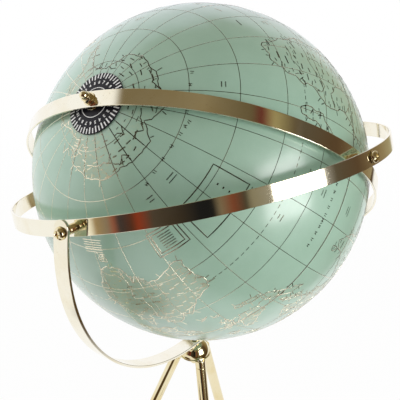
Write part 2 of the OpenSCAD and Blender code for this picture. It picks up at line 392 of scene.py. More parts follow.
@dataclass(frozen=True)
class Foil(Finish):
    """Foil with a painted reflection: gold on the light side of the globe and dark on the other."""

    centre: Vector
    name: str = "gold_foil"
    gold: Colour = (0.98, 0.92, 0.74)
    # Painted reflection of a dark room, not the foil's own colour.
    dark: Colour = (0.075, 0.06, 0.038)
    dull: Colour = (0.86, 0.76, 0.56)

    def _nodes(self, graph: Graph) -> dict[str, object]:
        """Adds the painted reflection, a painted sheen that turns the foil gold at glancing angles, and
        dull patches.
        """
        place = graph.object_place()
        # Painted reflection: gold on the light side, the dark colour on the other.
        bright = bright_side(graph, place, self.centre)
        # Painted sheen: the base colour turns gold at glancing angles.
        glance = graph.node("ShaderNodeLayerWeight", {}, {"Blend": 0.5}, "Facing")
        bright = graph.math("MAXIMUM", bright, graph.step(glance, 0.58, 0.8))
        wear = graph.step(graph.noise(place, 260.0, 3.0, 0.7), 0.5, 0.75)
        gold = graph.blend(wear, self.gold, self.dull)
        return {
            "Base Color": graph.blend(bright, self.dark, gold),
            "Metallic": 0.95 - wear * 0.2,
            "Roughness": 0.22 + wear * 0.12,
            "Normal": graph.bump(graph.noise(place, 1800.0), 0.00001),
        }


@dataclass(frozen=True)
class Satin(Finish):
    """A non-metal with a fine tooth: lacquer, ink, moulded plastic or rubber."""

    name: str
    colour: Colour
    marks: Colour
    roughness: float
    scale: float = 700.0
    depth: float = 0.00002
    shine: float = 0.5

    def _nodes(self, graph: Graph) -> dict[str, object]:
        """Adds the tooth, dust and slight rub marks."""
        place = graph.object_place()
        tooth = graph.noise(place, self.scale, 3.0, 0.6)
        dust = graph.step(graph.noise(place, self.scale * 0.2, 4.0, 0.7), 0.55, 0.75)
        return {
            "Base Color": graph.blend(dust * 0.6, self.colour, self.marks),
            "Roughness": self.roughness + dust * 0.1,
            "Specular IOR Level": self.shine,
            "Normal": graph.bump(tooth, self.depth),
        }


@dataclass(frozen=True)
class Steel(Finish):
    """Drawn steel rod with lines along it."""

    name: str = "drawn_steel"

    def _nodes(self, graph: Graph) -> dict[str, object]:
        """Adds the draw lines."""
        place = graph.object_place()
        lines = graph.noise(place, 1400.0, 3.0, 0.6)
        return {
            "Base Color": graph.blend(lines, (0.50, 0.51, 0.53), (0.62, 0.63, 0.66)),
            "Metallic": 1.0,
            "Roughness": 0.24 + lines * 0.14,
            "Normal": graph.bump(lines, 0.00002),
        }


class Finishes:
    """All finishes, built once and shared by the sub-assemblies."""

    def __init__(self, centre: Vector) -> None:
        """Builds the materials.

        Args:
            centre: The globe's centre.
        """
        yellow = {"colour": (0.85, 0.76, 0.52), "deep": (0.78, 0.66, 0.38)}
        self.strip = Brass("brass_strip").build()
        self.cast = Brass("brass_cast", **yellow, roughness=0.04, grain=Grain.NONE, ripple=6e-5).build()
        self.tube = Brass("brass_tube", **yellow, roughness=0.05, ripple=5e-5).build()
        self.turned = Brass(
            "brass_turned", **yellow, roughness=0.07, grain=Grain.AROUND, ripple=3e-5
        ).build()
        self.varnish = GlobeVarnish(centre).build()
        self.foil = Foil(centre).build()
        self.steel = Steel().build()
        self.lacquer = Satin(
            "dial_lacquer", (0.011, 0.010, 0.015), (0.022, 0.021, 0.026), 0.3, shine=0.22
        ).build()
        self.ink = Satin("white_ink", (0.86, 0.86, 0.86), (0.7, 0.7, 0.69), 0.5).build()
        self.rubber = Satin(
            "foot_rubber", (0.017, 0.016, 0.016), (0.05, 0.048, 0.045), 0.72, depth=0.00008
        ).build()
        self.nylon = Satin("bearing_nylon", (0.83, 0.82, 0.77), (0.7, 0.69, 0.64), 0.42).build()
        self.inside = Satin("collar_plastic", (0.6, 0.57, 0.5), (0.5, 0.47, 0.41), 0.5).build()


# -------------------------------------------------------------------- shapes


def rounded(corners: Sequence[Corner], loop: bool = False, cuts: int = 5) -> Profile:
    """Rounds the corners of a profile and adds a support point beside each.

    Args:
        corners: Points (radius, height, fillet); a fillet of 0 stays sharp.
        loop: Whether the last corner joins the first.
        cuts: Steps across a rounded corner.

    Returns:
        The profile's points.
    """
    points: Profile = []
    count = len(corners)
    for k, (r, z, fillet) in enumerate(corners):
        here = Vector((r, z))
        if fillet <= 0 or (not loop and k in (0, count - 1)):
            points.append((r, z))
            continue
        before = Vector(corners[k - 1][:2]) - here
        after = Vector(corners[(k + 1) % count][:2]) - here
        reach = min(fillet, before.length * 0.45, after.length * 0.45)
        support = min(reach * 1.7, before.length * 0.49, after.length * 0.49)
        first, last = here + before.normalized() * reach, here + after.normalized() * reach
        points.append(tuple(here + before.normalized() * support))
        for n in range(cuts + 1):
            t = n / cuts
            points.append(tuple((1 - t) ** 2 * first + 2 * t * (1 - t) * here + t * t * last))
        points.append(tuple(here + after.normalized() * support))
    return points


def arc(radius: float, start: float, end: float, steps: int, height: float = 0.0) -> Profile:
    """Points on an arc round (0, height) of a profile; angles from the radius axis."""
    angles = np.linspace(start, end, steps + 1)
    return [(radius * math.cos(a), height + radius * math.sin(a)) for a in angles]


def plane_frame(x_axis: Vector, y_axis: Vector, origin: Vector) -> Matrix:
    """Makes the matrix of a right-handed frame.

    Args:
        x_axis: Its unit X axis.
        y_axis: Its unit Y axis, square to X.
        origin: Its origin.

    Returns:
        The 4x4 matrix.
    """
    turned = Matrix((x_axis, y_axis, x_axis.cross(y_axis))).transposed()
    return Matrix.Translation(origin) @ turned.to_4x4()


class Shape:
    """Collects surfaces of revolution and turns them into one mesh."""

    def __init__(self) -> None:
        """Starts empty."""
        self.points: list[Vector] = []
        self.faces: list[list[int]] = []
        self.uvs: list[list[tuple[float, float]]] = []

    def lathe(
        self,
        profile: Profile,
        place: Matrix = Matrix.Identity(4),
        segments: int = 96,
        angles: Optional[Sequence[float]] = None,
        loop: bool = False,
        warp: Optional[Warp] = None,
    ) -> "Shape":
        """Turns a profile round its own Z axis.

        Args:
            profile: Points (radius, height), running up the outside.
            place: Where the turned shape goes.
            segments: Steps round a full turn.
            angles: The angles of a part turn, in place of a full one.
            loop: Whether the profile is a closed section, as of a ring.
            warp: Moves each point before it is placed.

        Returns:
            The shape itself.
        """
        full = angles is None
        rows = list(np.arange(segments) * TAU / segments) if full else list(angles)
        run = [0.0]
        for (r0, z0), (r1, z1) in zip(profile, profile[1:] + profile[:1]):
            run.append(run[-1] + math.hypot(r1 - r0, z1 - z0))
        girth = max(r for r, _ in profile)
        index: dict[tuple[int, int], int] = {}
        for j, (r, z) in enumerate(profile):
            for i, a in enumerate(rows):
                if r < 1e-9 and i:
                    index[i, j] = index[0, j]
                    continue
                point = Vector((r * math.cos(a), r * math.sin(a), z))
                self.points.append(place @ (warp(point) if warp else point))
                index[i, j] = len(self.points) - 1
        steps = len(rows) if full else len(rows) - 1
        for j in range(len(profile) if loop else len(profile) - 1):
            k = (j + 1) % len(profile)
            for i in range(steps):
                n = (i + 1) % len(rows)
                u, w = rows[i] * girth, (rows[n] + (TAU if full and n == 0 else 0)) * girth
                ring = [index[i, j], index[n, j], index[n, k], index[i, k]]
                uv = [(u, run[j]), (w, run[j]), (w, run[j + 1]), (u, run[j + 1])]
                keep = [m for m in range(4) if ring[m] != ring[m - 1]]
                self.faces.append([ring[m] for m in keep])
                self.uvs.append([uv[m] for m in keep])
        if not full and loop:
            for i, order in ((0, 1), (len(rows) - 1, -1)):
                self.faces.append([index[i, j] for j in range(len(profile))][::order])
                self.uvs.append([(r, z) for r, z in profile][::order])
        return self

    def make(
        self, name: str, finish: bpy.types.Material, sharp: float = 28.0
    ) -> bpy.types.Object:
        """Makes the mesh object, smooth but for edges sharper than an angle.

        Args:
            name: The object's name.
            finish: Its material.
            sharp: The angle in degrees.

        Returns:
            The new object, linked to the scene.
        """
        mesh = bpy.data.meshes.new(name)
        mesh.from_pydata([tuple(p) for p in self.points], [], self.faces)
        layer = mesh.uv_layers.new(name="run")
        layer.data.foreach_set("uv", [c for face in self.uvs for uv in face for c in uv])
        tidy = bmesh.new()
        tidy.from_mesh(mesh)
        bmesh.ops.remove_doubles(tidy, verts=tidy.verts, dist=1e-7)
        bmesh.ops.recalc_face_normals(tidy, faces=tidy.faces)
        tidy.to_mesh(mesh)
        tidy.free()
        mesh.shade_smooth()
        mesh.set_sharp_from_angle(angle=math.radians(sharp))
        mesh.materials.append(finish)
        return add_object(name, mesh)


def settle(
    piece: bpy.types.Object, body: Body, nodes: Sequence[str] = ()
) -> bpy.types.Object:
    """Hands a finished piece to the frame and reports it.

    Args:
        piece: The piece.
        body: The body it rides on.
        nodes: The CAD nodes it stands for.

    Returns:
        The piece.
    """
    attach(piece, body.value)
    if nodes:
        piece.name = nodes[0] + "_dressed"
        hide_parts(*nodes)
    LOG.info("%s: %d faces on %s", piece.name, len(piece.data.polygons), body.value)
    return piece


# ------------------------------------------------------------ geometry nodes


class Recipe:
    """A geometry node tree with named inputs, applied to objects one by one."""

    def __init__(self, name: str, **inputs: str) -> None:
        """Starts a tree with its inputs; the last one is always the finish.

        Args:
            name: The tree's name.
            inputs: Input name to the kind of its socket.
        """
        self.tree = bpy.data.node_groups.new(name, "GeometryNodeTree")
        self.keys: dict[str, str] = {}
        face = self.tree.interface
        face.new_socket("Geometry", in_out="INPUT", socket_type="NodeSocketGeometry")
        for label, kind in {**inputs, "Finish": "Material"}.items():
            made = face.new_socket(label, in_out="INPUT", socket_type="NodeSocket" + kind)
            self.keys[label] = made.identifier
        face.new_socket("Geometry", in_out="OUTPUT", socket_type="NodeSocketGeometry")
        self.graph = Graph(self.tree)
        self.source = self.tree.nodes.new("NodeGroupInput")

    def given(self, label: str) -> Sock:
        """Returns one of the tree's inputs."""
        return Sock(self.graph, self.source.outputs[label])

    def end(self, geometry: Sock) -> None:
        """Ends the tree: instances made real, then the material set."""
        real = self.graph.node("GeometryNodeRealizeInstances", {}, {"Geometry": geometry})
        dressed = self.graph.node(
            "GeometryNodeSetMaterial", {}, {"Geometry": real, "Material": self.given("Finish")}
        )
        self.graph.node("NodeGroupOutput", {}, {"Geometry": dressed}, None)

    def apply(self, source: bpy.types.Object, name: str, values: dict[str, object]) -> bpy.types.Object:
        """Runs the tree on an object and keeps the result as a plain mesh.

        Args:
            source: The object that the tree starts from; it is removed.
            name: The result's name.
            values: Input name to value.

        Returns:
            The new object.
        """
        modifier = source.modifiers.new(name, "NODES")
        modifier.node_group = self.tree
        for label, value in values.items():
            modifier[self.keys[label]] = value
        bpy.context.view_layer.update()
        depsgraph = bpy.context.evaluated_depsgraph_get()
        mesh = bpy.data.meshes.new_from_object(source.evaluated_get(depsgraph), depsgraph=depsgraph)
        source.modifiers.remove(modifier)
        bpy.data.objects.remove(source)
        mesh.name = name
        return add_object(name, mesh)


class Recipes:
    """The three trees that make what repeats or follows a path."""

    def __init__(self) -> None:
        """Builds the trees."""
        self.round_axis = self._round_axis()
        self.ribbon = self._ribbon()
        self.bars = self._bars()

    def _round_axis(self) -> Recipe:
        """Builds the tree that repeats a piece round an axis."""
        recipe = Recipe("repeat_round_axis", Count="Int", Axis="Vector", Centre="Vector")
        graph, count = recipe.graph, recipe.given("Count")
        points = graph.node(
            "GeometryNodePoints", {}, {"Count": count, "Position": recipe.given("Centre")}
        )
        turn = graph.node("GeometryNodeInputIndex") * TAU / count
        spin = graph.node(
            "FunctionNodeAxisAngleToRotation", {}, {"Axis": recipe.given("Axis"), "Angle": turn}
        )
        made = graph.node(
            "GeometryNodeInstanceOnPoints",
            {},
            {"Points": points, "Instance": recipe.given("Geometry"), "Rotation": spin},
        )
        recipe.end(made)
        return recipe

    def _ribbon(self) -> Recipe:
        """Builds the tree that lays a flat ribbon of foil along edges on the globe."""
        recipe = Recipe("foil_ribbon", Width="Float", Height="Float", Centre="Vector")
        graph = recipe.graph
        outward = graph.vector_math(
            "SUBTRACT", graph.node("GeometryNodeInputPosition"), recipe.given("Centre")
        )
        curve = graph.node("GeometryNodeMeshToCurve", {}, {"Mesh": recipe.given("Geometry")})
        framed = graph.node(
            "GeometryNodeSetCurveNormal",
            {"mode": "FREE"},
            {"Curve": curve, "Normal": graph.vector_math("NORMALIZE", outward)},
        )
        section = graph.node(
            "GeometryNodeCurvePrimitiveQuadrilateral",
            {"mode": "RECTANGLE"},
            {"Width": recipe.given("Height"), "Height": recipe.given("Width")},
        )
        made = graph.node(
            "GeometryNodeCurveToMesh",
            {},
            {"Curve": framed, "Profile Curve": section, "Fill Caps": True},
        )
        recipe.end(made)
        return recipe

    def _bars(self) -> Recipe:
        """Builds the tree that sets one small bar of foil on each point."""
        recipe = Recipe("foil_bars")
        graph = recipe.graph
        read = {"data_type": "FLOAT_VECTOR"}
        name = "GeometryNodeInputNamedAttribute"
        outward = graph.node(name, read, {"Name": "outward"})
        along = graph.node(name, read, {"Name": "along"})
        size = graph.node(name, read, {"Name": "size"})
        spin = graph.node(
            "FunctionNodeAxesToRotation",
            {"primary_axis": "Z", "secondary_axis": "X"},
            {0: outward, 1: along},
        )
        bar = graph.node("GeometryNodeMeshCube", {}, {"Size": (1.0, 1.0, 1.0)})
        made = graph.node(
            "GeometryNodeInstanceOnPoints",
            {},
            {"Points": recipe.given("Geometry"), "Instance": bar, "Rotation": spin, "Scale": size},
        )
        recipe.end(made)
        return recipe


# ---------------------------------------------------------------- the frames


@dataclass(frozen=True)
class Axes:
    """The three turning axes through the globe's centre, read from the joints."""

    centre: Vector
    yoke: Vector
    rings: Vector
    poles: Vector

    @classmethod
    def from_joints(cls) -> "Axes":
        """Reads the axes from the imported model's joints."""
        joints = {joint["name"]: joint for joint in frame["joints"]}
        return cls(
            Vector(joints["outer_ring_tilt"]["pos_m"]),
            Vector(joints["outer_ring_tilt"]["axis"]).normalized(),
            Vector(joints["inner_ring_tilt"]["axis"]).normalized(),
            Vector(joints["globe_spin"]["axis"]).normalized(),
        )

    def yoke_frame(self) -> Matrix:
        """Frame of the yoke: its pivots on X."""
        return plane_frame(self.yoke, Vector((0, 1, 0)), self.centre)

    def outer_frame(self) -> Matrix:
        """Frame of the outer ring: the yoke's pivots on X, the inner ring's on Y."""
        return plane_frame(self.yoke, self.rings, self.centre)

    def inner_frame(self) -> Matrix:
        """Frame of the inner ring: its pivots on Y, its plane holding the poles."""
        square = self.poles.cross(self.rings).normalized()
        return plane_frame(self.rings.cross(square), self.rings, self.centre)

    def polar_frame(self) -> Matrix:
        """Frame of the poles: both on X, in the inner ring's plane."""
        square = self.poles.cross(self.rings).normalized()
        return plane_frame(self.poles, square.cross(self.poles), self.centre)


def x_end(place: Matrix) -> Matrix:
    """Turns a frame so that +Z of what is placed points along its +X."""
    return place @ Matrix.Rotation(math.pi / 2, 4, "Y")


def y_end(place: Matrix) -> Matrix:
    """Turns a frame so that +Z of what is placed points along its +Y."""
    return place @ Matrix.Rotation(math.pi / 2, 4, "Z") @ Matrix.Rotation(math.pi / 2, 4, "Y")


def unplaced(place: Matrix) -> Matrix:
    """Keeps the turn of a frame and drops its origin."""
    return place.to_3x3().to_4x4()


# ---------------------------------------------------------------- fasteners


@dataclass(frozen=True)
class PanScrew:
    """A pan-head screw with a cross recess."""

    head_d: float = 8 * MM
    head_h: float = 2.6 * MM
    shank_d: float = 4 * MM
    recess: float = 1.3 * MM

    def shape(self, seat: float, tip: float, place: Matrix) -> Shape:
        """Builds the screw.

        Args:
            seat: Height of the head's underside.
            tip: Height of the shank's end.
            place: Frame of the screw, +Z out through the head.

        Returns:
            The shape.
        """
        top, edge = seat + self.head_h, self.head_d / 2
        shoulder = edge - self.head_h * 0.5
        body = rounded(
            [
                (0, tip, 0),
                (self.shank_d / 2 - 0.3 * MM, tip, 0),
                (self.shank_d / 2, tip + 0.3 * MM, 0),
                (self.shank_d / 2, seat, 0),
                (edge, seat, 0.2 * MM),
                (edge, top - self.head_h * 0.5, 0.5 * MM),
                (shoulder, top - 0.08 * MM, 0.5 * MM),
            ]
        )
        rim = body.pop()[0]
        flat = [(rim * (1 - n / 26), top - 0.08 * MM + 0.08 * MM * (n / 26)) for n in range(27)]
        return Shape().lathe(body + flat[:-1] + [(0, top)], place, 96, warp=self._recess(top))

    def _recess(self, top: float) -> Warp:
        """Returns the move that sinks the cross into a head with its top at a height."""
        reach, half = self.head_d * 0.28, self.head_d * 0.28 * 0.24

        def sink(point: Vector) -> Vector:
            """Moves one point."""
            if point.z < top - 0.3 * MM:
                return point
            near, far = sorted((abs(point.x), abs(point.y)))
            inside = 1 - min(max((near - half) / (0.14 * MM), 0), 1)
            within = 1 - min(max((far - reach) / (0.2 * MM), 0), 1)
            slope = 1 - 0.55 * min(far / reach, 1) ** 2
            return Vector((point.x, point.y, point.z - self.recess * inside * within * slope))

        return sink


@dataclass(frozen=True)
class CapNut:
    """A hexagon nut closed by a dome."""

    flats: float = 7 * MM
    hex_h: float = 3.4 * MM
    height: float = 8 * MM
    dome_d: float = 5.6 * MM

    def shape(self, seat: float, place: Matrix) -> Shape:
        """Builds the nut.

        Args:
            seat: Height that it sits on.
            place: Its frame, +Z through the dome.

        Returns:
            The shape.
        """
        corner = self.flats / 2 / math.cos(math.pi / 6)
        dome = self.dome_d / 2
        low = rounded(
            [
                (0, seat, 0),
                (self.flats / 2, seat, 0),
                (corner, seat + self.hex_h * 0.15, 0.12 * MM),
                (corner, seat + self.hex_h * 0.8, 0.12 * MM),
                (self.flats / 2 * 0.97, seat + self.hex_h, 0.12 * MM),
                (dome, seat + self.hex_h, 0.2 * MM),
                (dome, seat + self.height - dome, 0),
            ]
        )
        top = arc(dome, 0, math.pi / 2, 14, seat + self.height - dome)[1:-1]
        profile = low + top + [(0, seat + self.height)]
        return Shape().lathe(profile, place, 96, warp=self._hexagon(seat))

    def _hexagon(self, seat: float) -> Warp:
        """Returns the move that draws the points above the seat in to the hexagon."""

        def limit(point: Vector) -> Vector:
            """Moves one point."""
            radius = math.hypot(point.x, point.y)
            if radius < 1e-9 or point.z > seat + self.hex_h + 1e-9:
                return point
            turn = math.atan2(point.y, point.x) % (math.pi / 3) - math.pi / 6
            share = min(1.0, self.flats / 2 / math.cos(turn) / radius)
            return Vector((point.x * share, point.y * share, point.z))

        return limit


@dataclass(frozen=True)
class Washer:
    """A plain washer with its edges broken."""

    outer_d: float
    bore_d: float
    thickness: float

    def shape(self, low: float, place: Matrix) -> Shape:
        """Builds the washer from a height upwards.

        Args:
            low: Height of its lower face.
            place: Its frame.

        Returns:
            The shape.
        """
        inner, outer, high = self.bore_d / 2, self.outer_d / 2, low + self.thickness
        edge = self.thickness * 0.3
        section = [(inner, low, edge), (outer, low, edge), (outer, high, edge), (inner, high, edge)]
        return Shape().lathe(rounded(section, True, 3), place, 72, loop=True)


@dataclass(frozen=True)
class Repeater:
    """Repeats a piece round an axis through the globe's centre."""

    recipes: Recipes
    centre: Vector

    def pair(
        self, shape: Shape, name: str, axis: Vector, finish: bpy.types.Material
    ) -> bpy.types.Object:
        """Makes a shape twice, on opposite sides of the axis."""
        return self.turn(shape.make(name + "_one", finish), name, axis, finish, 2)

    def turn(
        self,
        source: bpy.types.Object,
        name: str,
        axis: Vector,
        finish: bpy.types.Material,
        count: int,
    ) -> bpy.types.Object:
        """Repeats an object that is made already.

        Args:
            source: The object, built about the origin; it is removed.
            name: Name of the result.
            axis: The axis that it is repeated round.
            finish: Its material.
            count: How many there are.

        Returns:
            The finished object.
        """
        values = {"Count": count, "Axis": axis, "Centre": self.centre, "Finish": finish}
        return self.recipes.round_axis.apply(source, name, values)


# -------------------------------------------------------------------- strips


@dataclass(frozen=True)
class Strip:
    """A flat brass strip bent to a circle, with slightly rounded edges."""

    inner_r: float
    thickness: float
    width: float
    edge: float = 0.28 * MM

    @property
    def outer_r(self) -> float:
        """Radius of the outside."""
        return self.inner_r + self.thickness

    def section(self) -> Profile:
        """Returns the strip's closed section."""
        half, edge = self.width / 2, self.edge
        sides = ((self.inner_r, -half), (self.outer_r, -half), (self.outer_r, half), (self.inner_r, half))
        return rounded([(*side, edge) for side in sides], True, 4)

    def ring(self, place: Matrix, joint_at: float, joint_w: float) -> Shape:
        """Builds a full ring with the fine joint where its ends meet.

        Args:
            place: Frame of the ring, its axis on Z.
            joint_at: Angle of the joint, in radians.
            joint_w: Width of the joint.

        Returns:
            The shape.
        """
        half = joint_w / 2 / self.inner_r
        angles = np.linspace(joint_at + half, joint_at + TAU - half, 361)
        return Shape().lathe(self.section(), place, angles=angles, loop=True)

    def bow(self, place: Matrix, end_h: float) -> Shape:
        """Builds a half ring with rounded ends.

        Args:
            place: Frame of the bow: its axis on Z, its lowest point on +Y.
            end_h: Height of its ends above the line through its pivots.

        Returns:
            The shape.
        """
        over = math.asin(end_h / (self.inner_r + self.thickness / 2))
        eased = (1 - np.cos(np.linspace(0, math.pi / 2, 15))) * over * 1.4
        start, stop = eased[:-1] - over, math.pi + over - eased[:-1][::-1]
        middle = np.linspace(0.4 * over, math.pi - 0.4 * over, 220)
        angles = np.concatenate([start, middle, stop])
        radius = self.width / 2

        def narrow(point: Vector) -> Vector:
            """Draws a point in where the strip's end is rounded."""
            rise = -point.y - (end_h - radius)
            if rise <= 0:
                return point
            left = math.sqrt(max(radius * radius - min(rise, radius) ** 2, 1e-10))
            return Vector((point.x, point.y, point.z * left / radius))

        return Shape().lathe(self.section(), place, angles=angles, loop=True, warp=narrow)


YOKE_STRIP = Strip(152 * MM, 2 * MM, 12 * MM, 0.3 * MM)
OUTER_STRIP = Strip(141.5 * MM, 1.5 * MM, 11.5 * MM)
INNER_STRIP = Strip(129.5 * MM, 1.5 * MM, 11.5 * MM)


# -------------------------------------------------------------------- tripod


@dataclass
class Tripod:
    """The domed hub, its three legs and their rubber feet."""

    finishes: Finishes
    underside: float = 162 * MM
    dome_r: float = 12.5 * MM
    rim_r: float = 13.3 * MM
    rim_h: float = 1.4 * MM
    seat_z: float = 175.13 * MM
    root_r: float = 13.3 * MM
    splay: float = math.radians(19)
    turn: float = math.radians(-3)
    leg_d: float = 8.5 * MM
    stub: float = 5 * MM
    foot_d: float = 12 * MM
    foot_grip: float = 9 * MM
    foot_sole: float = 5 * MM
    washer_h: float = 1 * MM

    def leg_place(self, number: int) -> Matrix:
        """Frame of the right (0), back (1) or front (-1) leg: root on the hub, +Z down."""
        return (
            Matrix.Rotation(self.turn + number * TAU / 3, 4, "Z")
            @ Matrix.Translation((self.root_r, 0, self.underside))
            @ Matrix.Rotation(math.pi - self.splay, 4, "Y")
        )

    def build(self) -> None:
        """Builds and settles all pieces."""
        self._hub()
        for name, number in (("right", 0), ("back", 1), ("front", -1)):
            self._leg("leg_" + name, number)
            self._foot("foot_" + name, number)
        self._fasteners()

    def _keep(
        self,
        shape: Shape,
        name: str,
        finish: bpy.types.Material,
        sharp: float = 28.0,
    ) -> None:
        """Makes a piece of the stand and settles it in place of its CAD node."""
        settle(shape.make(name, finish, sharp), Body.STAND, [name])

    def _hub(self) -> None:
        """Builds the dome with its rolled rim and the three leg stubs."""
        low, dome_z = self.underside, self.underside + self.rim_h
        seat_angle = math.asin((self.seat_z - dome_z) / self.dome_r)
        rim = rounded(
            [
                (0, low, 0),
                (self.rim_r, low, 0.6 * MM),
                (self.rim_r, dome_z, 0.55 * MM),
                (self.dome_r + 0.05 * MM, dome_z, 0.12 * MM),
            ]
        )
        dome = arc(self.dome_r, 0.03, seat_angle, 30, dome_z)
        shape = Shape().lathe(rim + dome + [(0, self.seat_z)], segments=160)
        collar = 0.35 * MM
        for number in (0, 1, -1):
            stub = rounded(
                [
                    (0, -1 * MM, 0),
                    (self.leg_d / 2, -1 * MM, 0.3 * MM),
                    (self.leg_d / 2, self.stub, collar),
                    (0, self.stub, 0),
                ]
            )
            shape.lathe(stub, self.leg_place(number), 64)
        self._keep(shape, "hub", self.finishes.cast)

    def _leg(self, name: str, number: int) -> None:
        """Builds one tube, with its edges broken at both ends."""
        end = self.underside / math.cos(self.splay) - self.foot_sole
        half, edge = self.leg_d / 2, 0.35 * MM
        tube = rounded(
            [(0, self.stub, 0), (half, self.stub, edge), (half, end, edge), (0, end, 0)]
        )
        shape = Shape().lathe(tube, self.leg_place(number), 72)
        self._keep(shape, name, self.finishes.tube)

    def _foot(self, name: str, number: int) -> None:
        """Builds one rubber foot, ribbed round its grip and cut flat on the floor."""
        floor = self.underside / math.cos(self.splay)
        top, half, bore = floor - self.foot_sole - self.foot_grip, self.foot_d / 2, self.leg_d / 2
        ribs = [
            (half - (0.35 * MM if n % 2 else 0.0), top + 2 * MM + n * 0.8 * MM) for n in range(9)
        ]
        section: Profile = [(bore + 0.02 * MM, floor - self.foot_sole + 0.02 * MM)]
        section += [(bore + 0.02 * MM, top), (half - 1 * MM, top), (half, top + 1 * MM)]
        section += ribs + [(half, floor - 2.2 * MM), (half, floor + 3 * MM), (0, floor + 3 * MM)]

        def flatten(point: Vector) -> Vector:
            """Slides a point that is under the floor back up along the leg."""
            below = min((self.leg_place(number) @ point).z, 0.0)
            return Vector((point.x, point.y, point.z + below / math.cos(self.splay)))

        sealed = [(0, floor - 4.9 * MM), (bore - 0.1 * MM, floor - 4.9 * MM)] + section
        made = Shape().lathe(sealed, self.leg_place(number), 72, warp=flatten)
        self._keep(made, name, self.finishes.rubber, 35.0)

    def _fasteners(self) -> None:
        """Builds the bolt through yoke and hub, with its washer and cap nut."""
        yoke_in = frame_centre_z() - YOKE_STRIP.inner_r
        head = PanScrew(9.6 * MM, 2.4 * MM, 5 * MM)
        bolt = head.shape(yoke_in + 0.08 * MM, self.underside - 5 * MM, Matrix.Identity(4))
        low = self.underside - self.washer_h
        washer = Washer(11 * MM, 5.04 * MM, self.washer_h).shape(low, Matrix.Identity(4))
        down = Matrix.Translation((0, 0, low)) @ Matrix.Rotation(math.pi, 4, "X")
        nut = CapNut(8 * MM, 4 * MM, 9.5 * MM, 7 * MM).shape(0.0, down)
        for name, shape in (("yoke_bolt", bolt), ("hub_washer", washer), ("hub_nut", nut)):
            self._keep(shape, name, self.finishes.turned)


def frame_centre_z() -> float:
    """Height of the globe's centre, from the first joint."""
    return frame["joints"][0]["pos_m"][2]


# ---------------------------------------------------------- yoke and gimbals


@dataclass
class Yoke:
    """The half-round bow that carries the outer ring."""

    axes: Axes
    finishes: Finishes
    strip: Strip = YOKE_STRIP
    end_h: float = 9 * MM

    def build(self) -> None:
        """Builds and settles the bow."""
        place = self.axes.yoke_frame() @ Matrix.Rotation(-math.pi / 2, 4, "X")
        made = self.strip.bow(place, self.end_h).make("yoke", self.finishes.strip)
        settle(made, Body.STAND, ["yoke"])


@dataclass
class Gimbal:
    """One gimbal ring with the bosses, washers and screws of its two pivots."""

    prefix: str
    body: Body
    place: Matrix
    ends: Callable[[Matrix], Matrix]
    repeater: Repeater
    finishes: Finishes
    strip: Strip
    carrier: Strip
    joint_at: float
    joint_w: float = 0.28 * MM
    boss_d: float = 6.5 * MM
    gap: float = 0.3 * MM
    thread: float = 6 * MM
    washer_h: float = 0.5 * MM

    def build(self) -> None:
        """Builds and settles the ring and its pivot hardware."""
        ring = self.strip.ring(self.place, self.joint_at, self.joint_w)
        made = ring.make(self.prefix + "_ring", self.finishes.strip)
        settle(made, self.body, [self.prefix + "_ring"])
        turned = unplaced(self.place)
        across = self.ends(turned)
        axis = turned.col[2].xyz
        self._pair("bosses", self._boss(across), axis)
        low = self.carrier.outer_r + self.gap
        self._pair("washers", Washer(9 * MM, 4.04 * MM, self.washer_h).shape(low, across), axis)
        free = self._free_end()
        screw = PanScrew().shape(low + self.washer_h, free - self.thread, across)
        self._pair("screws", screw, axis)

    def _pair(self, what: str, shape: Shape, axis: Vector) -> None:
        """Repeats a piece at the opposite pivot and settles both as one."""
        name = f"{self.prefix}_{what}"
        made = self.repeater.pair(shape, name, axis, self.finishes.turned)
        settle(made, self.body, [name])

    def _free_end(self) -> float:
        """Distance of a boss's free end from the globe's centre."""
        return math.sqrt(self.carrier.inner_r**2 - (self.boss_d / 2) ** 2) - self.gap

    def _boss(self, across: Matrix) -> Shape:
        """Builds a boss: spigot through the ring, shoulder, waist and free end."""
        inner, outer, half = self.strip.inner_r, self.strip.outer_r, self.boss_d / 2
        free = self._free_end()
        waist = (outer + free) / 2
        spigot = math.sqrt(inner**2 - (2.5 * MM) ** 2)
        profile = rounded(
            [
                (0, spigot, 0),
                (2.45 * MM, spigot, 0.1 * MM),
                (2.48 * MM, outer, 0),
                (half, outer, 0.15 * MM),
                (half, waist - 0.7 * MM, 0.2 * MM),
                (half - 0.3 * MM, waist - 0.4 * MM, 0.15 * MM),
                (half - 0.3 * MM, waist + 0.4 * MM, 0.15 * MM),
                (half, waist + 0.7 * MM, 0.2 * MM),
                (half, free, 0.4 * MM),
                (0, free, 0),
            ]
        )
        return Shape().lathe(profile, across, 80)


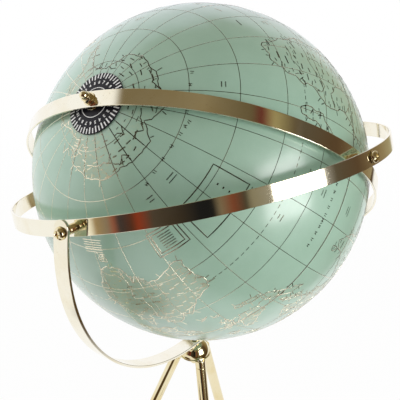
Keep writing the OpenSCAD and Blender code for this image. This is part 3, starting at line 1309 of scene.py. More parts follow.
@dataclass
class Poles:
    """The spacers, washers and cap nuts that hold the globe's rod."""

    axes: Axes
    repeater: Repeater
    finishes: Finishes
    ring: Strip = INNER_STRIP
    washer_h: float = 0.8 * MM

    def build(self) -> None:
        """Builds and settles the hardware of both poles."""
        turned = unplaced(self.axes.polar_frame())
        across, axis = x_end(turned), turned.col[2].xyz
        seat = self.ring.outer_r + self.washer_h
        washer = Washer(9 * MM, 4.04 * MM, self.washer_h).shape(self.ring.outer_r, across)
        pieces = (
            ("pole_spacers", self._spacer(across)),
            ("pole_washers", washer),
            ("pole_nuts", CapNut().shape(seat, across)),
        )
        for name, shape in pieces:
            made = self.repeater.pair(shape, name, axis, self.finishes.turned)
            settle(made, Body.INNER, [name])

    def _spacer(self, across: Matrix) -> Shape:
        """Builds a spacer with its collar over the dial."""
        low, high = GLOBE_R + 0.3 * MM, math.sqrt(self.ring.inner_r**2 - (4 * MM) ** 2)
        collar = GLOBE_R + 1.6 * MM
        profile = rounded(
            [
                (2.02 * MM, low, 0),
                (4 * MM, low, 0.15 * MM),
                (4 * MM, collar, 0),
                (6 * MM, collar, 0.2 * MM),
                (6 * MM, collar + 0.8 * MM, 0.2 * MM),
                (4 * MM, collar + 0.8 * MM, 0.1 * MM),
                (4 * MM, high, 0.2 * MM),
                (2.02 * MM, high, 0),
            ],
            True,
            3,
        )
        return Shape().lathe(profile, across, 80, loop=True)


# --------------------------------------------------------------- map's lines

# Listed outlines, each "longitude,latitude" in degrees, in drawing order.
LANDS: dict[str, str] = {
    "australia": "114,-22 113.5,-26 115.7,-31.8 115,-34.3 118,-35 121,-33.8 124,-33 126,-32.3 129,-31.7"
    " 131.2,-31.5 134,-32.7 135.7,-34.9 137.8,-32.5 137,-35.2 138,-34.5 138.5,-35.6 140,-37.9 143.5,-38.8"
    " 146.3,-39.1 149.9,-37.5 151.2,-33.9 153.2,-30 153.2,-27 152.5,-25 150.8,-23.3 149.2,-21 146.8,-19.2"
    " 145.8,-16.9 145.3,-15 143.8,-14.3 142.5,-10.8 141.7,-13 140.9,-17.3 139,-17.5 137,-16 135.5,-15"
    " 136,-13.5 136.8,-12.2 135,-12.1 132.5,-11.4 130.7,-12.5 129.5,-15 128,-15 126.5,-14 124.5,-16"
    " 122.2,-18 121,-19.5 118.5,-20.3 115.5,-21.5",
    "tasmania": "144.7,-40.7 148.3,-40.9 148,-43 146,-43.5 145.2,-42.2",
    "new_zealand_north": "172.7,-34.5 174.5,-36 175.5,-37 178.3,-37.8 177,-39.5 175.3,-41.5 174.8,-41"
    " 175,-40 173.8,-39.3 174.7,-38 174.3,-36.7",
    "new_zealand_south": "172.7,-40.6 174,-41.2 172.8,-43.5 171,-45 170.5,-46 168.5,-46.6 166.5,-46"
    " 168.5,-44 171,-42.3",
    "new_guinea": "131,-1 134,-0.8 135,-3.3 138,-1.7 141,-2.6 145,-4.3 147.8,-6 147,-7 150.5,-10.6"
    " 147,-9.5 144,-7.8 141,-9.1 138.5,-8.3 138,-5.5 133,-4 132,-2.5",
    "borneo": "109,1.5 111,1.6 113,3.2 116.8,6.9 119,5.2 117.7,2 119,1 116.5,-1.8 116,-4 113,-3.2"
    " 110.2,-2.9 109,0",
    "sulawesi": "120,1 125,1.5 121,0.5 120.2,-1 123.3,-0.8 121.5,-2 122.8,-4.5 121,-3 120.4,-5.5"
    " 119.5,-3 119,-2 119.8,0",
    "sumatra": "95.3,5.6 98.5,3.9 101,2.2 103.5,-0.8 106,-3 105.8,-5.8 104,-5.5 102,-3.8 100.4,-1"
    " 98.7,1.7 96,4",
    "java": "105.2,-6.8 106.8,-6 110.5,-6.5 112.7,-6.9 114.5,-7.7 114.4,-8.7 110,-8 106.5,-7.4",
    "timor": "123.5,-10.3 125,-9 127,-8.4 125.5,-9.5",
    "flores": "120,-8.4 122.8,-8.3 120.5,-8.9",
    "luzon": "120.5,18.4 122.2,18.3 121.5,15 124,12.7 121,13.7 120,15.5",
    "mindanao": "122,7 123.5,8.6 125.5,9.7 126.4,7.5 125.4,5.8 124,6.8",
    "sri_lanka": "80,9.7 81.7,7.5 81,6.2 80,6.2 79.8,8",
    "madagascar": "49.3,-12.1 50.4,-15.5 49.5,-17.5 48,-22 47,-25 45,-25.5 43.5,-23 44.3,-20 44.3,-16.5"
    " 46.5,-15.8 48,-13.6",
    "africa": "-6,35.8 -1,35.7 3,36.8 10,37.2 11,34 15,32.4 20,31 21.5,32.9 25,31.7 31,31.5 34,31.3"
    " 32.5,29.8 35.5,24 37.3,20 38.5,18 39.5,15.5 43,12 43.3,11.5 48,11.2 51.2,11.8 49,7 46,3 42,-1"
    " 40,-3.5 39,-7 40.5,-11 40.6,-15 36,-18.8 35,-20 35.5,-23.5 32.7,-26 32.5,-28.5 30,-31.5 26.5,-33.8"
    " 22,-34 20,-34.8 18.4,-34 17.8,-31 16.5,-28.6 15,-26 14.5,-22.5 12,-18 12,-16 13.7,-12 13.2,-8.8"
    " 12,-5.5 9.5,-2.5 9,0 9.6,3.5 8.5,4.7 6,4.3 4,6.4 1,6 -2,4.8 -5,5.1 -7.7,4.4 -11,6.8 -13.3,9 -15,11"
    " -17,14.7 -16.3,19 -17,21 -15,24.5 -13,27.8 -9.8,31 -8.5,33.5",
    "south_america": "-80,0 -80.9,-4.5 -79,-8 -76.3,-14 -71,-18 -70.4,-23.5 -71.5,-30 -73.3,-37 -74,-42"
    " -75.5,-47 -74,-51 -71,-54 -66,-55 -68.5,-52.5 -69,-50 -66,-47 -67.5,-46 -65,-43 -64,-41 -62,-39"
    " -58,-38.3 -56.8,-36.3 -58.3,-34.3 -55,-35 -53,-33 -50,-30 -48.5,-27 -48,-25 -44,-23 -41,-22"
    " -39,-17.5 -39,-13 -35,-9 -35,-6 -39,-3 -44,-2.5 -48,-1 -50,1 -51.5,4.5 -57,6 -60,8.5 -62,10.5"
    " -68,11 -71.5,12.3 -75,11 -77,8.5 -79.5,9.5 -77.5,7 -77.3,4 -79,1.8",
    "north_america": "-79.5,9.5 -83.7,11 -83.3,15 -88,16 -87,21.5 -90.5,21 -91,18.7 -94.5,18.2 -97.5,21"
    " -97.5,26 -95,29 -90,29 -85,29.8 -82.7,28 -81,25.2 -80.2,27 -81.3,31 -76,35 -75.5,38 -74,40.5"
    " -70,41.7 -70.5,43.5 -67,44.8 -64,44 -60,46 -65,47.5 -65,49 -60,50.2 -56,52 -57,54.5 -62,57.5"
    " -65,60 -70,61.5 -77,62.3 -78,59 -77,55.5 -79.5,52 -82,53 -85,55.3 -92,57 -94.5,60 -91,63 -87,65"
    " -82,67 -82,69.5 -90,69 -95,71 -100,68 -108,68 -115,68.5 -125,70 -135,69 -141,69.7 -156,71.3"
    " -166,68.5 -161,66.3 -168,65.6 -161,64 -165,61 -162,58.7 -157.5,58.7 -164,54.8 -155,58 -151,61"
    " -146,60.7 -140,59.8 -135,58 -130,54.5 -127,50.5 -124.5,48 -124,43 -124,40 -122,37 -120.5,34.5"
    " -117,32.5 -115,29 -112,25.5 -109.7,23 -111,26 -114.5,31.5 -112,29 -109,25.5 -105.5,21.5 -105,19.5"
    " -101,17.5 -96,15.7 -92,14.5 -87.7,13 -85.8,11 -83.5,8.5 -80,7.4",
    "greenland": "-73,78 -66,80.5 -45,82.5 -25,82.5 -18,80 -20,75 -24,71 -35,67 -41,64 -43.5,60 -49,62"
    " -53,66 -54,70 -60,75.7",
    "cuba": "-84.8,22 -80,23 -74.3,20.2 -78,20 -82,22.4",
    "hispaniola": "-74.4,18.5 -72.7,19.9 -68.5,18.6 -71,17.8",
    "baffin": "-62,66.5 -72,71 -85,73.5 -80,70 -73,67 -74,64.7 -65,62",
    "victoria": "-116,70 -105,69 -105,73 -115,73",
    "ellesmere": "-78,76.5 -90,77 -92,81 -65,83 -65,81",
    "eurasia": "-9,43 -9.4,38.7 -8.8,37 -6,36.2 -2,36.8 0,39 3,42 5,43.3 8.5,44.3 11,42.5 13,41.2"
    " 16,38.8 16,38 17,39.5 18.4,40 16,41.5 13.6,43.6 12.5,45.5 15,44.5 19,42 19.5,40 22,37 23.5,38"
    " 24,40.5 26.5,41 29,41.1 28,43 30.5,46 33,46 34,44.5 36.5,45.4 39,47 38,44.5 41.5,41.5 36,42"
    " 31.5,41.3 27,40.3 27,37.2 31,36.5 36,36.5 35.5,33.5 34.3,31.2 34.8,29.5 37,25.5 39,21.5 42.6,16"
    " 43.3,12.8 48,14 52,16 55,17.5 59.8,22.4 56.5,24.5 56.3,26.2 54,24.2 51.5,25 50.2,26.5 48,30"
    " 50.5,29.5 54,26.7 57,27 61.5,25.2 67,25 69,22.3 72.5,21.5 73,17.5 74.8,13 77.5,8.1 79.9,10.3"
    " 80.2,13.5 82.3,16.7 87,21 90.5,22.3 92,21 94.3,18 94.3,16 97.5,16.5 98.7,12 98.3,8 100.4,6"
    " 103.5,1.4 103.4,4.5 100.3,8.5 99.3,11 100.5,13.5 102.8,12 105,8.7 109.2,11.8 108.8,15.3 105.8,19"
    " 108,21.5 110.3,20.5 114,22.3 117,23.5 120,26.5 122,30 119.5,35 122.5,37.2 118,39 121.5,39"
    " 124.5,39.8 126.5,37 126.5,34.5 129.3,35.5 127.5,39.7 130.5,42.3 135.5,44.5 140.5,48.5 141,52.5"
    " 137.5,54 135.5,54.7 142.5,59.2 150,59.5 155,59.5 160,61.5 156,57 156.7,51 160,53.5 162.5,56.5"
    " 163.5,59.8 170,60 178,62.5 180,65 190,66 180,69 170,70 160,69.7 150,71.5 140,72.5 130,71 126,73.3"
    " 113,73.7 105,77.7 95,76 87,75 80.5,73.5 80,72 75,72.5 73,68 69,72.5 67,69 60,69 54,68.5 44,66"
    " 44,68 41,66.7 38,64 33,66.7 41,67.5 33,69.4 25.5,71 18,69.5 13,65.5 10.5,63.8 5,61.5 5.5,59"
    " 8,58.1 10.7,59 12.5,56 16,56.3 18.5,60 17.5,62 22,65.7 25.4,65 21.5,61 23,59.9 30,60 24,59.2"
    " 23.5,57 21,55.5 18.5,54.7 14,54 11,54 10.5,57.5 8.2,56.5 8.7,54 5,53 3.5,51.3 1.6,50.5 -1.6,49.6"
    " -4.7,48.4 -1.2,46 -1.5,43.5",
    "britain": "-5.5,50.1 1.2,51.2 1.7,52.7 0,53.5 -1.8,55.5 -2,57.6 -3.2,58.6 -5,58.5 -6,56.5"
    " -4.8,54.8 -3,53.9 -4.5,53 -5.2,51.8 -3,51.4",
    "ireland": "-10,51.7 -6.3,52.2 -6,54 -7.5,55.3 -10,54.2 -9.5,53",
    "iceland": "-24,65.5 -22.5,64 -18.7,63.4 -13.8,65 -16,66.5 -20,66",
    "honshu": "131,34 135.7,33.5 139,34.8 141,36 142,39.6 141,41.4 139.8,39 137,37.2 135,35.6 132,35.4",
    "hokkaido": "140.2,41.5 143.2,42 145.5,43.3 141.8,45.4 141.3,43.3",
    "novaya_zemlya": "52,71 57,73 68,76.8 58,75.5 53,72.5",
    "antarctica": "-57,-63 -60,-65 -62,-70 -61,-74 -50,-77 -35,-78 -27,-76 -18,-73 -8,-71 0,-70"
    " 10,-70 20,-70 30,-69 40,-69 50,-67 57,-66 65,-68 70,-69 73,-71 78,-69 85,-66 95,-66 105,-66"
    " 115,-67 125,-66 135,-66 145,-67 155,-69 162,-70 170,-72 166,-75 163,-78 180,-78 200,-78 205,-77"
    " 212,-76 225,-75 240,-74 255,-74 265,-72 275,-73 285,-73 292,-70 294,-67 297,-65",
}

# Inland lines: state borders and rivers, each an open line.
BORDERS: tuple[str, ...] = (
    "129,-14.9 129,-31.7",
    "129,-26 138,-26 141,-26 141,-38",
    "138,-16.5 138,-26",
    "141,-29 149,-29 152,-28.5 153.5,-28.2",
    "141,-34 144,-36 148,-36 150,-37.5",
    "20,-34 20,-25 25,-25.5 31,-22.5 32,-26",
    "12,-17.3 18,-17.4 23.5,-18 25.3,-17.8 30,-15.6 33,-14 36,-16 35,-19",
    "12.5,-5.9 17,-8 22,-11 24,-11 24,-13 22,-13 22,-16.3",
    "29,-1 29.5,-4.5 31,-8.5 33,-9.5 34.7,-11.5 40,-10.6",
    "34,-1 37.5,-3 39.2,-4.6",
    "14,12 16,7.5 18.5,4 23,4.6 27.4,5 31,3.7 36,4.4 41.9,3.9",
    "10,0 14,2 16,-1 17,-4 20,-5 24,-2 25,1.5 20,2",
    "3,6.4 4,11.7 9,12.8 14,13",
    "-5.5,5 -4,10 0,11 2.4,12",
    "25,31.6 25,22 24,20 24,15.7 22.5,12.6",
    "31.5,31 31,27 33,24 31.3,22 30.5,18 33.6,19 32.5,15.6 32.7,11 31,7",
    "9,36.9 8,33 9.8,30 12,23.5 6,19.5 3,19 -4.8,25 -8.7,27.5",
    "-58,-20 -58,-27 -55,-28 -57.6,-30.2 -58.3,-33.9",
    "-69.5,-17.5 -67,-23 -69.5,-30 -70.5,-38 -71.8,-44 -72.3,-50 -68.6,-52.4",
    "-78.5,1.4 -75,-2 -70,-4.2 -73,-9.5 -69.5,-11 -65.3,-11 -60,-14 -58,-18",
    "-67,1.2 -63,2 -60.7,5.2 -56,2 -51.6,4",
    "-50,0 -55,-2 -60,-3.2 -65,-3 -70,-3.9",
    "-123,49 -95,49 -89,48 -83,46 -82,42 -76,44 -70,45.3 -67.2,45",
    "-117,32.5 -111,31.4 -106.5,31.8 -102,29.7 -99.5,27.5 -97.2,25.9",
    "-141,69.6 -141,60.2 -135,59.5 -130,56",
    "-90,29.5 -91,34 -89,37 -91,41 -94,46",
    "27,69.5 28,66 31,62.7 28,60.5",
    "28,56 31,53 36,50 40,48 47,50 55,51 61,51 70,54 80,51 87,49 98,50 110,49.5 120,50 130,47.5 131,43",
    "14.5,54 15,51 19,49.5 24,48 28,45.5",
    "2.5,51 7,49 7.5,47.5 7,44",
    "44,40 48,39 50,37.5 54,37.2 61,36.5 61,31 61.7,25.3",
    "61,36 66,37.4 71.5,37 74.5,37 78,33 81,30 88,27.9 97,28.3 98,24 101,22 106,23 108,21.6",
    "68.2,24 71,28 74.5,32 74.5,37",
    "97.5,17 98.5,15 99,12",
    "102,18 104.7,16.5 105.8,14 107.5,12 106,11",
    "117,49.5 120,45 111,43 105,42 96,43 91,45.5 87,49",
    "65,69 68,62 70,58 76,56 84,50.5",
    "82,72 84,66 90,60 93,56",
    "127,72.5 124,66 130,61 120,58 108,54",
)


class MapFrame:
    """Places latitude and longitude on the globe, and reads them back."""

    def __init__(self, axes: Axes, radius: float) -> None:
        """Takes the globe's axes.

        Args:
            axes: The turning axes.
            radius: The globe's radius.
        """
        turned = axes.polar_frame()
        self.centre = axes.centre
        self.radius = radius
        self.north = np.array(turned.col[0].xyz)
        self.across = -np.array(turned.col[1].xyz)
        self.up = -np.array(turned.col[2].xyz)
        self.zero = 54.0

    def direction(self, lat: float, lon: float) -> np.ndarray:
        """Unit vector of a place on the print.

        Args:
            lat: Latitude in degrees.
            lon: Longitude in degrees.

        Returns:
            The vector.
        """
        phi = math.radians(lat)
        turn = math.radians(lon - self.zero)
        flat = math.cos(turn) * self.across + math.sin(turn) * self.up
        return math.sin(phi) * self.north + math.cos(phi) * flat

    def read(self, points: np.ndarray) -> tuple[np.ndarray, np.ndarray]:
        """Latitude and longitude of points on the globe.

        Args:
            points: Places in space, one a row.

        Returns:
            Their latitudes and longitudes in degrees, longitudes from -180 to 180.
        """
        unit = points - np.array(self.centre)
        unit /= np.linalg.norm(unit, axis=1)[:, None]
        lat = np.degrees(np.arcsin(np.clip(unit @ self.north, -1, 1)))
        lon = np.degrees(np.arctan2(unit @ self.up, unit @ self.across)) + self.zero
        return lat, (lon + 180) % 360 - 180

    def spot(self, unit: np.ndarray) -> np.ndarray:
        """Place on the globe of a unit vector."""
        return np.array(self.centre) + unit * self.radius


def parse(line: str) -> np.ndarray:
    """Reads "longitude,latitude" pairs into rows."""
    return np.array([[float(part) for part in pair.split(",")] for pair in line.split()])


class Geography:
    """The coasts and borders as lines on the sphere, and the test for land."""

    def __init__(self, chart: MapFrame, seed: int = 11) -> None:
        """Draws every outline with a natural wiggle.

        Args:
            chart: The map's frame.
            seed: Seed of the wiggle.
        """
        self.chart = chart
        self.dice = random.Random(seed)
        self.outlines = {name: parse(text) for name, text in LANDS.items()}
        self.coasts = [self.line(pairs, True, 0.2) for pairs in self.outlines.values()]
        self.borders = [self.line(parse(text), False, 0.1) for text in BORDERS]

    def line(self, pairs: np.ndarray, closed: bool, wiggle: float) -> list[np.ndarray]:
        """Turns pairs into unit vectors, split and shaken like a natural line."""
        chain = [self.chart.direction(lat, lon) for lon, lat in pairs]
        if closed:
            chain.append(chain[0])
        for _ in range(4):
            finer = [chain[0]]
            for start, end in zip(chain, chain[1:]):
                gap = np.linalg.norm(end - start)
                if gap > math.radians(1.1):
                    side = np.cross(start, end)
                    middle = start + end + side / gap * self.dice.gauss(0, wiggle) * gap
                    finer.append(middle / np.linalg.norm(middle))
                finer.append(end)
            chain = finer
        return chain

    def land(self, points: np.ndarray) -> np.ndarray:
        """Says which points are on land.

        Args:
            points: Places in space, one a row.

        Returns:
            1 on land and 0 at sea, for each point.
        """
        lat, lon = self.chart.read(points)
        found = np.zeros(len(points), dtype=bool)
        for name, pairs in self.outlines.items():
            if name == "antarctica":
                found |= lat < np.interp(lon, pairs[:, 0], pairs[:, 1], period=360)
                continue
            for shift in (0, 360) if pairs[:, 0].max() > 180 else (0,):
                found |= self._inside(pairs, lon + shift, lat)
        return found.astype(float)

    @staticmethod
    def _inside(pairs: np.ndarray, lon: np.ndarray, lat: np.ndarray) -> np.ndarray:
        """Counts crossings of an outline east of each point; odd means inside."""
        odd = np.zeros(len(lon), dtype=bool)
        for (x0, y0), (x1, y1) in zip(pairs, np.roll(pairs, -1, axis=0)):
            if y0 == y1:
                continue
            spans = (lat > min(y0, y1)) & (lat <= max(y0, y1))
            odd ^= spans & (lon < x0 + (lat - y0) * (x1 - x0) / (y1 - y0))
        return odd


# --------------------------------------------------------------------- globe


@dataclass
class Globe:
    """The two half shells, with the land marked for the finish."""

    axes: Axes
    finishes: Finishes
    geography: Geography
    radius: float = GLOBE_R
    wall: float = 3 * MM
    hole_r: float = 5 * MM
    seam: float = 0.04 * MM

    def build(self) -> None:
        """Builds and settles both shells, and dresses what is inside."""
        north = x_end(self.axes.polar_frame())
        for name, place in (
            ("globe_north", north),
            ("globe_south", north @ Matrix.Rotation(math.pi, 4, "X")),
        ):
            made = self._half(place).make(name, self.finishes.varnish, 50.0)
            self._mark_land(made)
            settle(made, Body.GLOBE, [name])
        dress("equator_collar", self.finishes.inside)
        dress("pole_bearings", self.finishes.nylon)

    def _half(self, place: Matrix) -> Shape:
        """Builds a half shell with its wall, rim and pole hole."""
        outer_end = math.acos(self.hole_r / self.radius)
        inner_r = self.radius - self.wall
        inner_end = math.acos(self.hole_r / inner_r)
        start = self.seam / self.radius
        section = [(inner_r, 0.0), (self.radius - self.seam, 0.0)]
        section += arc(self.radius, start, outer_end, 110)
        section += arc(inner_r, inner_end, 0.05, 24)
        return Shape().lathe(section, place, 300, loop=True)

    def _mark_land(self, made: bpy.types.Object) -> None:
        """Writes the land attribute that the varnish reads."""
        mesh = made.data
        flat = np.empty(len(mesh.vertices) * 3)
        mesh.vertices.foreach_get("co", flat)
        land = mesh.attributes.new("land", "FLOAT", "POINT")
        land.data.foreach_set("value", self.geography.land(flat.reshape(-1, 3)))


def dress(node: str, finish: bpy.types.Material) -> None:
    """Gives a CAD node that stays a better material."""
    made = frame["nodes"][node]
    if not made.material_slots:
        made.data.materials.append(finish)
    for place in made.material_slots:
        place.material = finish
    LOG.info("%s: carried over with %s", node, finish.name)


@dataclass
class MapPrint:
    """The foil map: graticule, coasts, borders, boxes and rows of small marks."""

    chart: MapFrame
    geography: Geography
    recipes: Recipes
    finishes: Finishes
    thickness: float = 0.07 * MM
    fine: float = 0.36 * MM
    coast: float = 0.62 * MM
    bold: float = 0.85 * MM
    # Frames on the print: middle's longitude and latitude, width and height in degrees.
    inset: tuple[float, float, float, float] = (90, -41, 24, 12)
    legend: tuple[float, float, float, float] = (114, -42, 14, 8)
    land_rows: int = 4600
    legend_h: float = 0.7 * MM
    note_h: float = 0.85 * MM
    port_h: float = 0.65 * MM
    port_gap: float = 1.1 * MM
    # Distance between neighbours in a tight row, in heights.
    tight: float = 0.95
    pole_gap: float = math.radians(11)
    seed: int = 5
    bars: list[tuple[np.ndarray, np.ndarray, float, float]] = field(default_factory=list)

    def build(self) -> None:
        """Builds and settles every layer of foil."""
        self.dice = random.Random(self.seed)
        self._ribbons("map_graticule", self._graticule(), self.fine)
        self._ribbons("map_equator", [self._parallel(0, 1.5)], self.bold)
        self._ribbons("map_borders", self.geography.borders, self.fine * 1.15)
        self._ribbons("map_ice_lines", self._ice_lines(), self.coast)
        self._ribbons("map_coasts", self.geography.coasts, self.coast)
        self._ribbons("map_boxes", self._boxes(), self.coast * 1.15)
        self._dashes()
        self._titles()
        self._sea_notes()
        self._port_words()
        self._stamp("map_marks")
        self._inland_words()
        self._stamp("map_inland_words")

    def _ribbons(self, name: str, chains: list[list[np.ndarray]], width: float) -> None:
        """Lays foil along chains of unit vectors and settles it.

        Args:
            name: The piece's name.
            chains: The lines.
            width: The foil's width.
        """
        points: list[tuple[float, ...]] = []
        edges: list[tuple[int, int]] = []
        for chain in chains:
            first = len(points)
            closed = np.allclose(chain[0], chain[-1])
            body = chain[:-1] if closed else chain
            points += [tuple(self.chart.spot(unit)) for unit in body]
            edges += [(first + k, first + k + 1) for k in range(len(body) - 1)]
            if closed:
                edges.append((first + len(body) - 1, first))
        mesh = bpy.data.meshes.new(name)
        mesh.from_pydata(points, edges, [])
        source = add_object(name, mesh)
        values = {
            "Width": width,
            "Height": self.thickness * 2,
            "Centre": self.chart.centre,
            "Finish": self.finishes.foil,
        }
        made = self.recipes.ribbon.apply(source, name, values)
        settle(made, Body.GLOBE)

    def _parallel(self, lat: float, step: float) -> list[np.ndarray]:
        """Points along a parallel, a step of degrees apart."""
        count = int(360 / step) + 1
        return [self.chart.direction(lat, lon) for lon in np.linspace(-180, 180, count)]

    def _graticule(self) -> list[list[np.ndarray]]:
        """Parallels and meridians every 15 degrees."""
        lines = [self._parallel(lat, 2) for lat in range(-75, 90, 15) if lat]
        for lon in range(-180, 180, 15):
            lines.append([self.chart.direction(lat, lon) for lat in np.arange(-81, 82, 2.0)])
        return lines

    def _ice_lines(self) -> list[list[np.ndarray]]:
        """The sector lines and the stepped ice fronts round the south pole."""
        lines = []
        for lon in range(90, 166, 15):
            lines.append([self.chart.direction(lat, lon) for lat in np.arange(-79, -66, 2.0)])
        for lon in range(20, 180, 14):
            lat = self.dice.uniform(-76, -69)
            steps = [(lon + 5 * k, lat + self.dice.uniform(-1.5, 1.5)) for k in range(4)]
            lines.append(self.geography.line(np.array(steps), False, 0.1))
        return lines

    def _boxes(self) -> list[list[np.ndarray]]:
        """The inset frame and the legend's double frame in the southern ocean."""
        inner = (self.legend[0], self.legend[1], self.legend[2] - 3, self.legend[3] - 2)
        return [self._frame(*self.inset), self._frame(*self.legend), self._frame(*inner)]

    def _frame(self, lon: float, lat: float, width: float, height: float) -> list[np.ndarray]:
        """A frame that follows the graticule.

        Args:
            lon: Longitude of its middle.
            lat: Latitude of its middle.
            width: Degrees of longitude across.
            height: Degrees of latitude up.

        Returns:
            The points along its sides.
        """
        turns = ((-1, -1), (-1, 1), (1, 1), (1, -1), (-1, -1))
        corners = [np.array((lon + x * width / 2, lat + y * height / 2)) for x, y in turns]
        chain: list[np.ndarray] = []
        for start, end in zip(corners, corners[1:]):
            for t in np.linspace(0, 1, 8)[:-1]:
                east, north = start + (end - start) * t
                chain.append(self.chart.direction(north, east))
        return chain + [chain[0]]

    def _bar(self, unit: np.ndarray, along: np.ndarray, length: float, width: float) -> None:
        """Notes one small bar of foil."""
        self.bars.append((unit, along, length, width))

    def _ways(self, unit: np.ndarray) -> tuple[np.ndarray, np.ndarray]:
        """East and north at a place."""
        east = np.cross(self.chart.north, unit)
        east /= np.linalg.norm(east)
        return east, np.cross(unit, east)

    def _glyph(
        self, unit: np.ndarray, along: np.ndarray, height: float, weight: float = 0.19
    ) -> None:
        """One letter-like mark: an upright, a slanted stroke and a short bar.

        Args:
            unit: Its place.
            along: The way its row runs.
            height: Its height.
            weight: Width of its strokes, as a share of its height.
        """
        rise = np.cross(unit, along)
        pen = max(height * weight, 0.27 * MM)
        half = height * 0.3 / self.chart.radius
        slant = rise + along * self.dice.uniform(-0.5, 0.5)
        strokes = [(-half, rise, height), (half, slant / np.linalg.norm(slant), height * 0.8)]
        if height > 1.2 * MM:
            strokes.append((0.0, along, height * 0.5))
        for shift, way, length in strokes[: self.dice.choice((2, 3))]:
            self._bar(unit + along * shift, way, length, pen)

    def _word(
        self,
        unit: np.ndarray,
        way: np.ndarray,
        start: float,
        pitch: float,
        count: int,
        height: float,
        weight: float = 0.19,
    ) -> None:
        """Sets marks one after the other.

        Args:
            unit: The place that the word is set out from.
            way: The way it runs.
            start: Distance from there to the first mark.
            pitch: Distance from one mark to the next.
            count: How many marks.
            height: Their height.
            weight: Width of their strokes, as a share of the height.
        """
        for k in range(count):
            place = unit + way * ((start + k * pitch) / self.chart.radius)
            self._glyph(place / np.linalg.norm(place), way, height, weight)

    def _row(
        self, lat: float, lon: float, heading: float, count: int, height: float, pitch: float
    ) -> None:
        """A row of letter-like marks.

        Args:
            lat: Latitude of its middle.
            lon: Longitude of its middle.
            heading: Way it runs in degrees, 0 east and 90 north.
            count: How many marks.
            height: Their height.
            pitch: Distance from one to the next, in heights.
        """
        unit = self.chart.direction(lat, lon)
        east, north = self._ways(unit)
        way = east * math.cos(math.radians(heading)) + north * math.sin(math.radians(heading))
        start = -(count - 1) / 2 * pitch * height
        self._word(unit, way, start, pitch * height, count, height)

    def _dashes(self) -> None:
        """The dashed tropics and the Arctic circle."""
        for lat in (-23.5, 23.5, 66.5):
            for lon in np.arange(-180, 180, 2.4):
                unit = self.chart.direction(lat, lon)
                east, _ = self._ways(unit)
                self._bar(unit, east, 3.0 * MM * math.cos(math.radians(lat)), self.fine)

    def _titles(self) -> None:
        """The widely spaced rows across the oceans, and the legend's lines."""
        spread = (
            (-6, 70, 0, 6, 2.3 * MM, 2.4),
            (-6, 80, 0, 5, 2.3 * MM, 2.1),
            (-60, 85, 0, 6, 2.4 * MM, 4.0),
            (-60, 50, 0, 5, 2.4 * MM, 4.0),
            (-12, -150, 0, 7, 2.6 * MM, 3.0),
            (20, -150, 0, 7, 2.6 * MM, 3.0),
            (0, -25, 90, 8, 2.6 * MM, 2.6),
            (35, -45, 0, 8, 2.6 * MM, 2.6),
            (-30, -15, 90, 6, 2.6 * MM, 2.6),
        )
        for lat, lon, heading, count, height, pitch in spread:
            self._row(lat, lon, heading, count, height, pitch)
        lon, lat, _, height = self.legend
        for k in range(6):
            self._row(lat + (k / 5 - 0.5) * (height - 4), lon, 0, 15 - k % 2, self.legend_h, self.tight)
        for k in range(6):
            self._row(-48 + k * 0.8, 150, 0, 24 - 2 * (k % 2), self.legend_h, self.tight)
        lon, lat, _, _ = self.inset
        for k in range(3):
            unit = self.chart.direction(lat + 2 * (k - 1), lon - 6)
            self._bar(unit, self._ways(unit)[0], 1.4 * MM, 0.9 * MM)

    def _sea_notes(self) -> None:
        """Small two-line names in about half of the graticule's sea cells."""
        for cell_lat in range(-60, 60, 15):
            for cell_lon in range(-180, 180, 15):
                lat = cell_lat + self.dice.uniform(3, 12)
                lon = cell_lon + self.dice.uniform(3, 12)
                unit = self.chart.direction(lat, lon)
                sea = self.geography.land(self.chart.spot(np.array([unit])))[0] < 0.5
                if not sea or self.dice.random() < 0.5:
                    continue
                for line in range(self.dice.choice((1, 2, 2))):
                    count = self.dice.randint(4, 9)
                    self._row(lat - 1.2 * line, lon, 0, count, self.note_h, self.tight)

    def _inland_words(self) -> None:
        """Rows of tiny marks spread over the land."""
        spots = []
        golden = math.pi * (3 - math.sqrt(5))
        for k in range(self.land_rows):
            z = 1 - 2 * (k + 0.5) / self.land_rows
            flat = math.sqrt(1 - z * z)
            spots.append((flat * math.cos(k * golden), flat * math.sin(k * golden), z))
        units = np.array(spots)
        land = self.geography.land(self.chart.spot(units))
        for unit in units[land > 0.5]:
            if self.dice.random() < 0.2:
                continue
            east, north = self._ways(unit)
            lean = self.dice.gauss(0, 0.18)
            way = east * math.cos(lean) + north * math.sin(lean)
            height = self.dice.choice((0.6, 0.65, 0.8, 1.0)) * MM
            count = self.dice.randint(3, 7)
            pitch = self.tight * height
            start = self.dice.uniform(-1, 1) * MM - count / 2 * pitch
            self._word(unit, way, start, pitch, count, height, 0.42)

    def _port_words(self) -> None:
        """Short rows that stand off the coasts, as place names do."""
        for coast in self.geography.coasts:
            for k in range(2, len(coast) - 2, 3):
                if self.dice.random() < 0.3:
                    continue
                unit = coast[k]
                run = coast[k + 1] - coast[k - 1]
                side = np.cross(unit, run / np.linalg.norm(run))
                sign = self.dice.choice((-1, 1))
                count, pitch = self.dice.randint(3, 7), self.tight * self.port_h
                self._word(unit, side * sign, self.port_gap, pitch, count, self.port_h, 0.36)

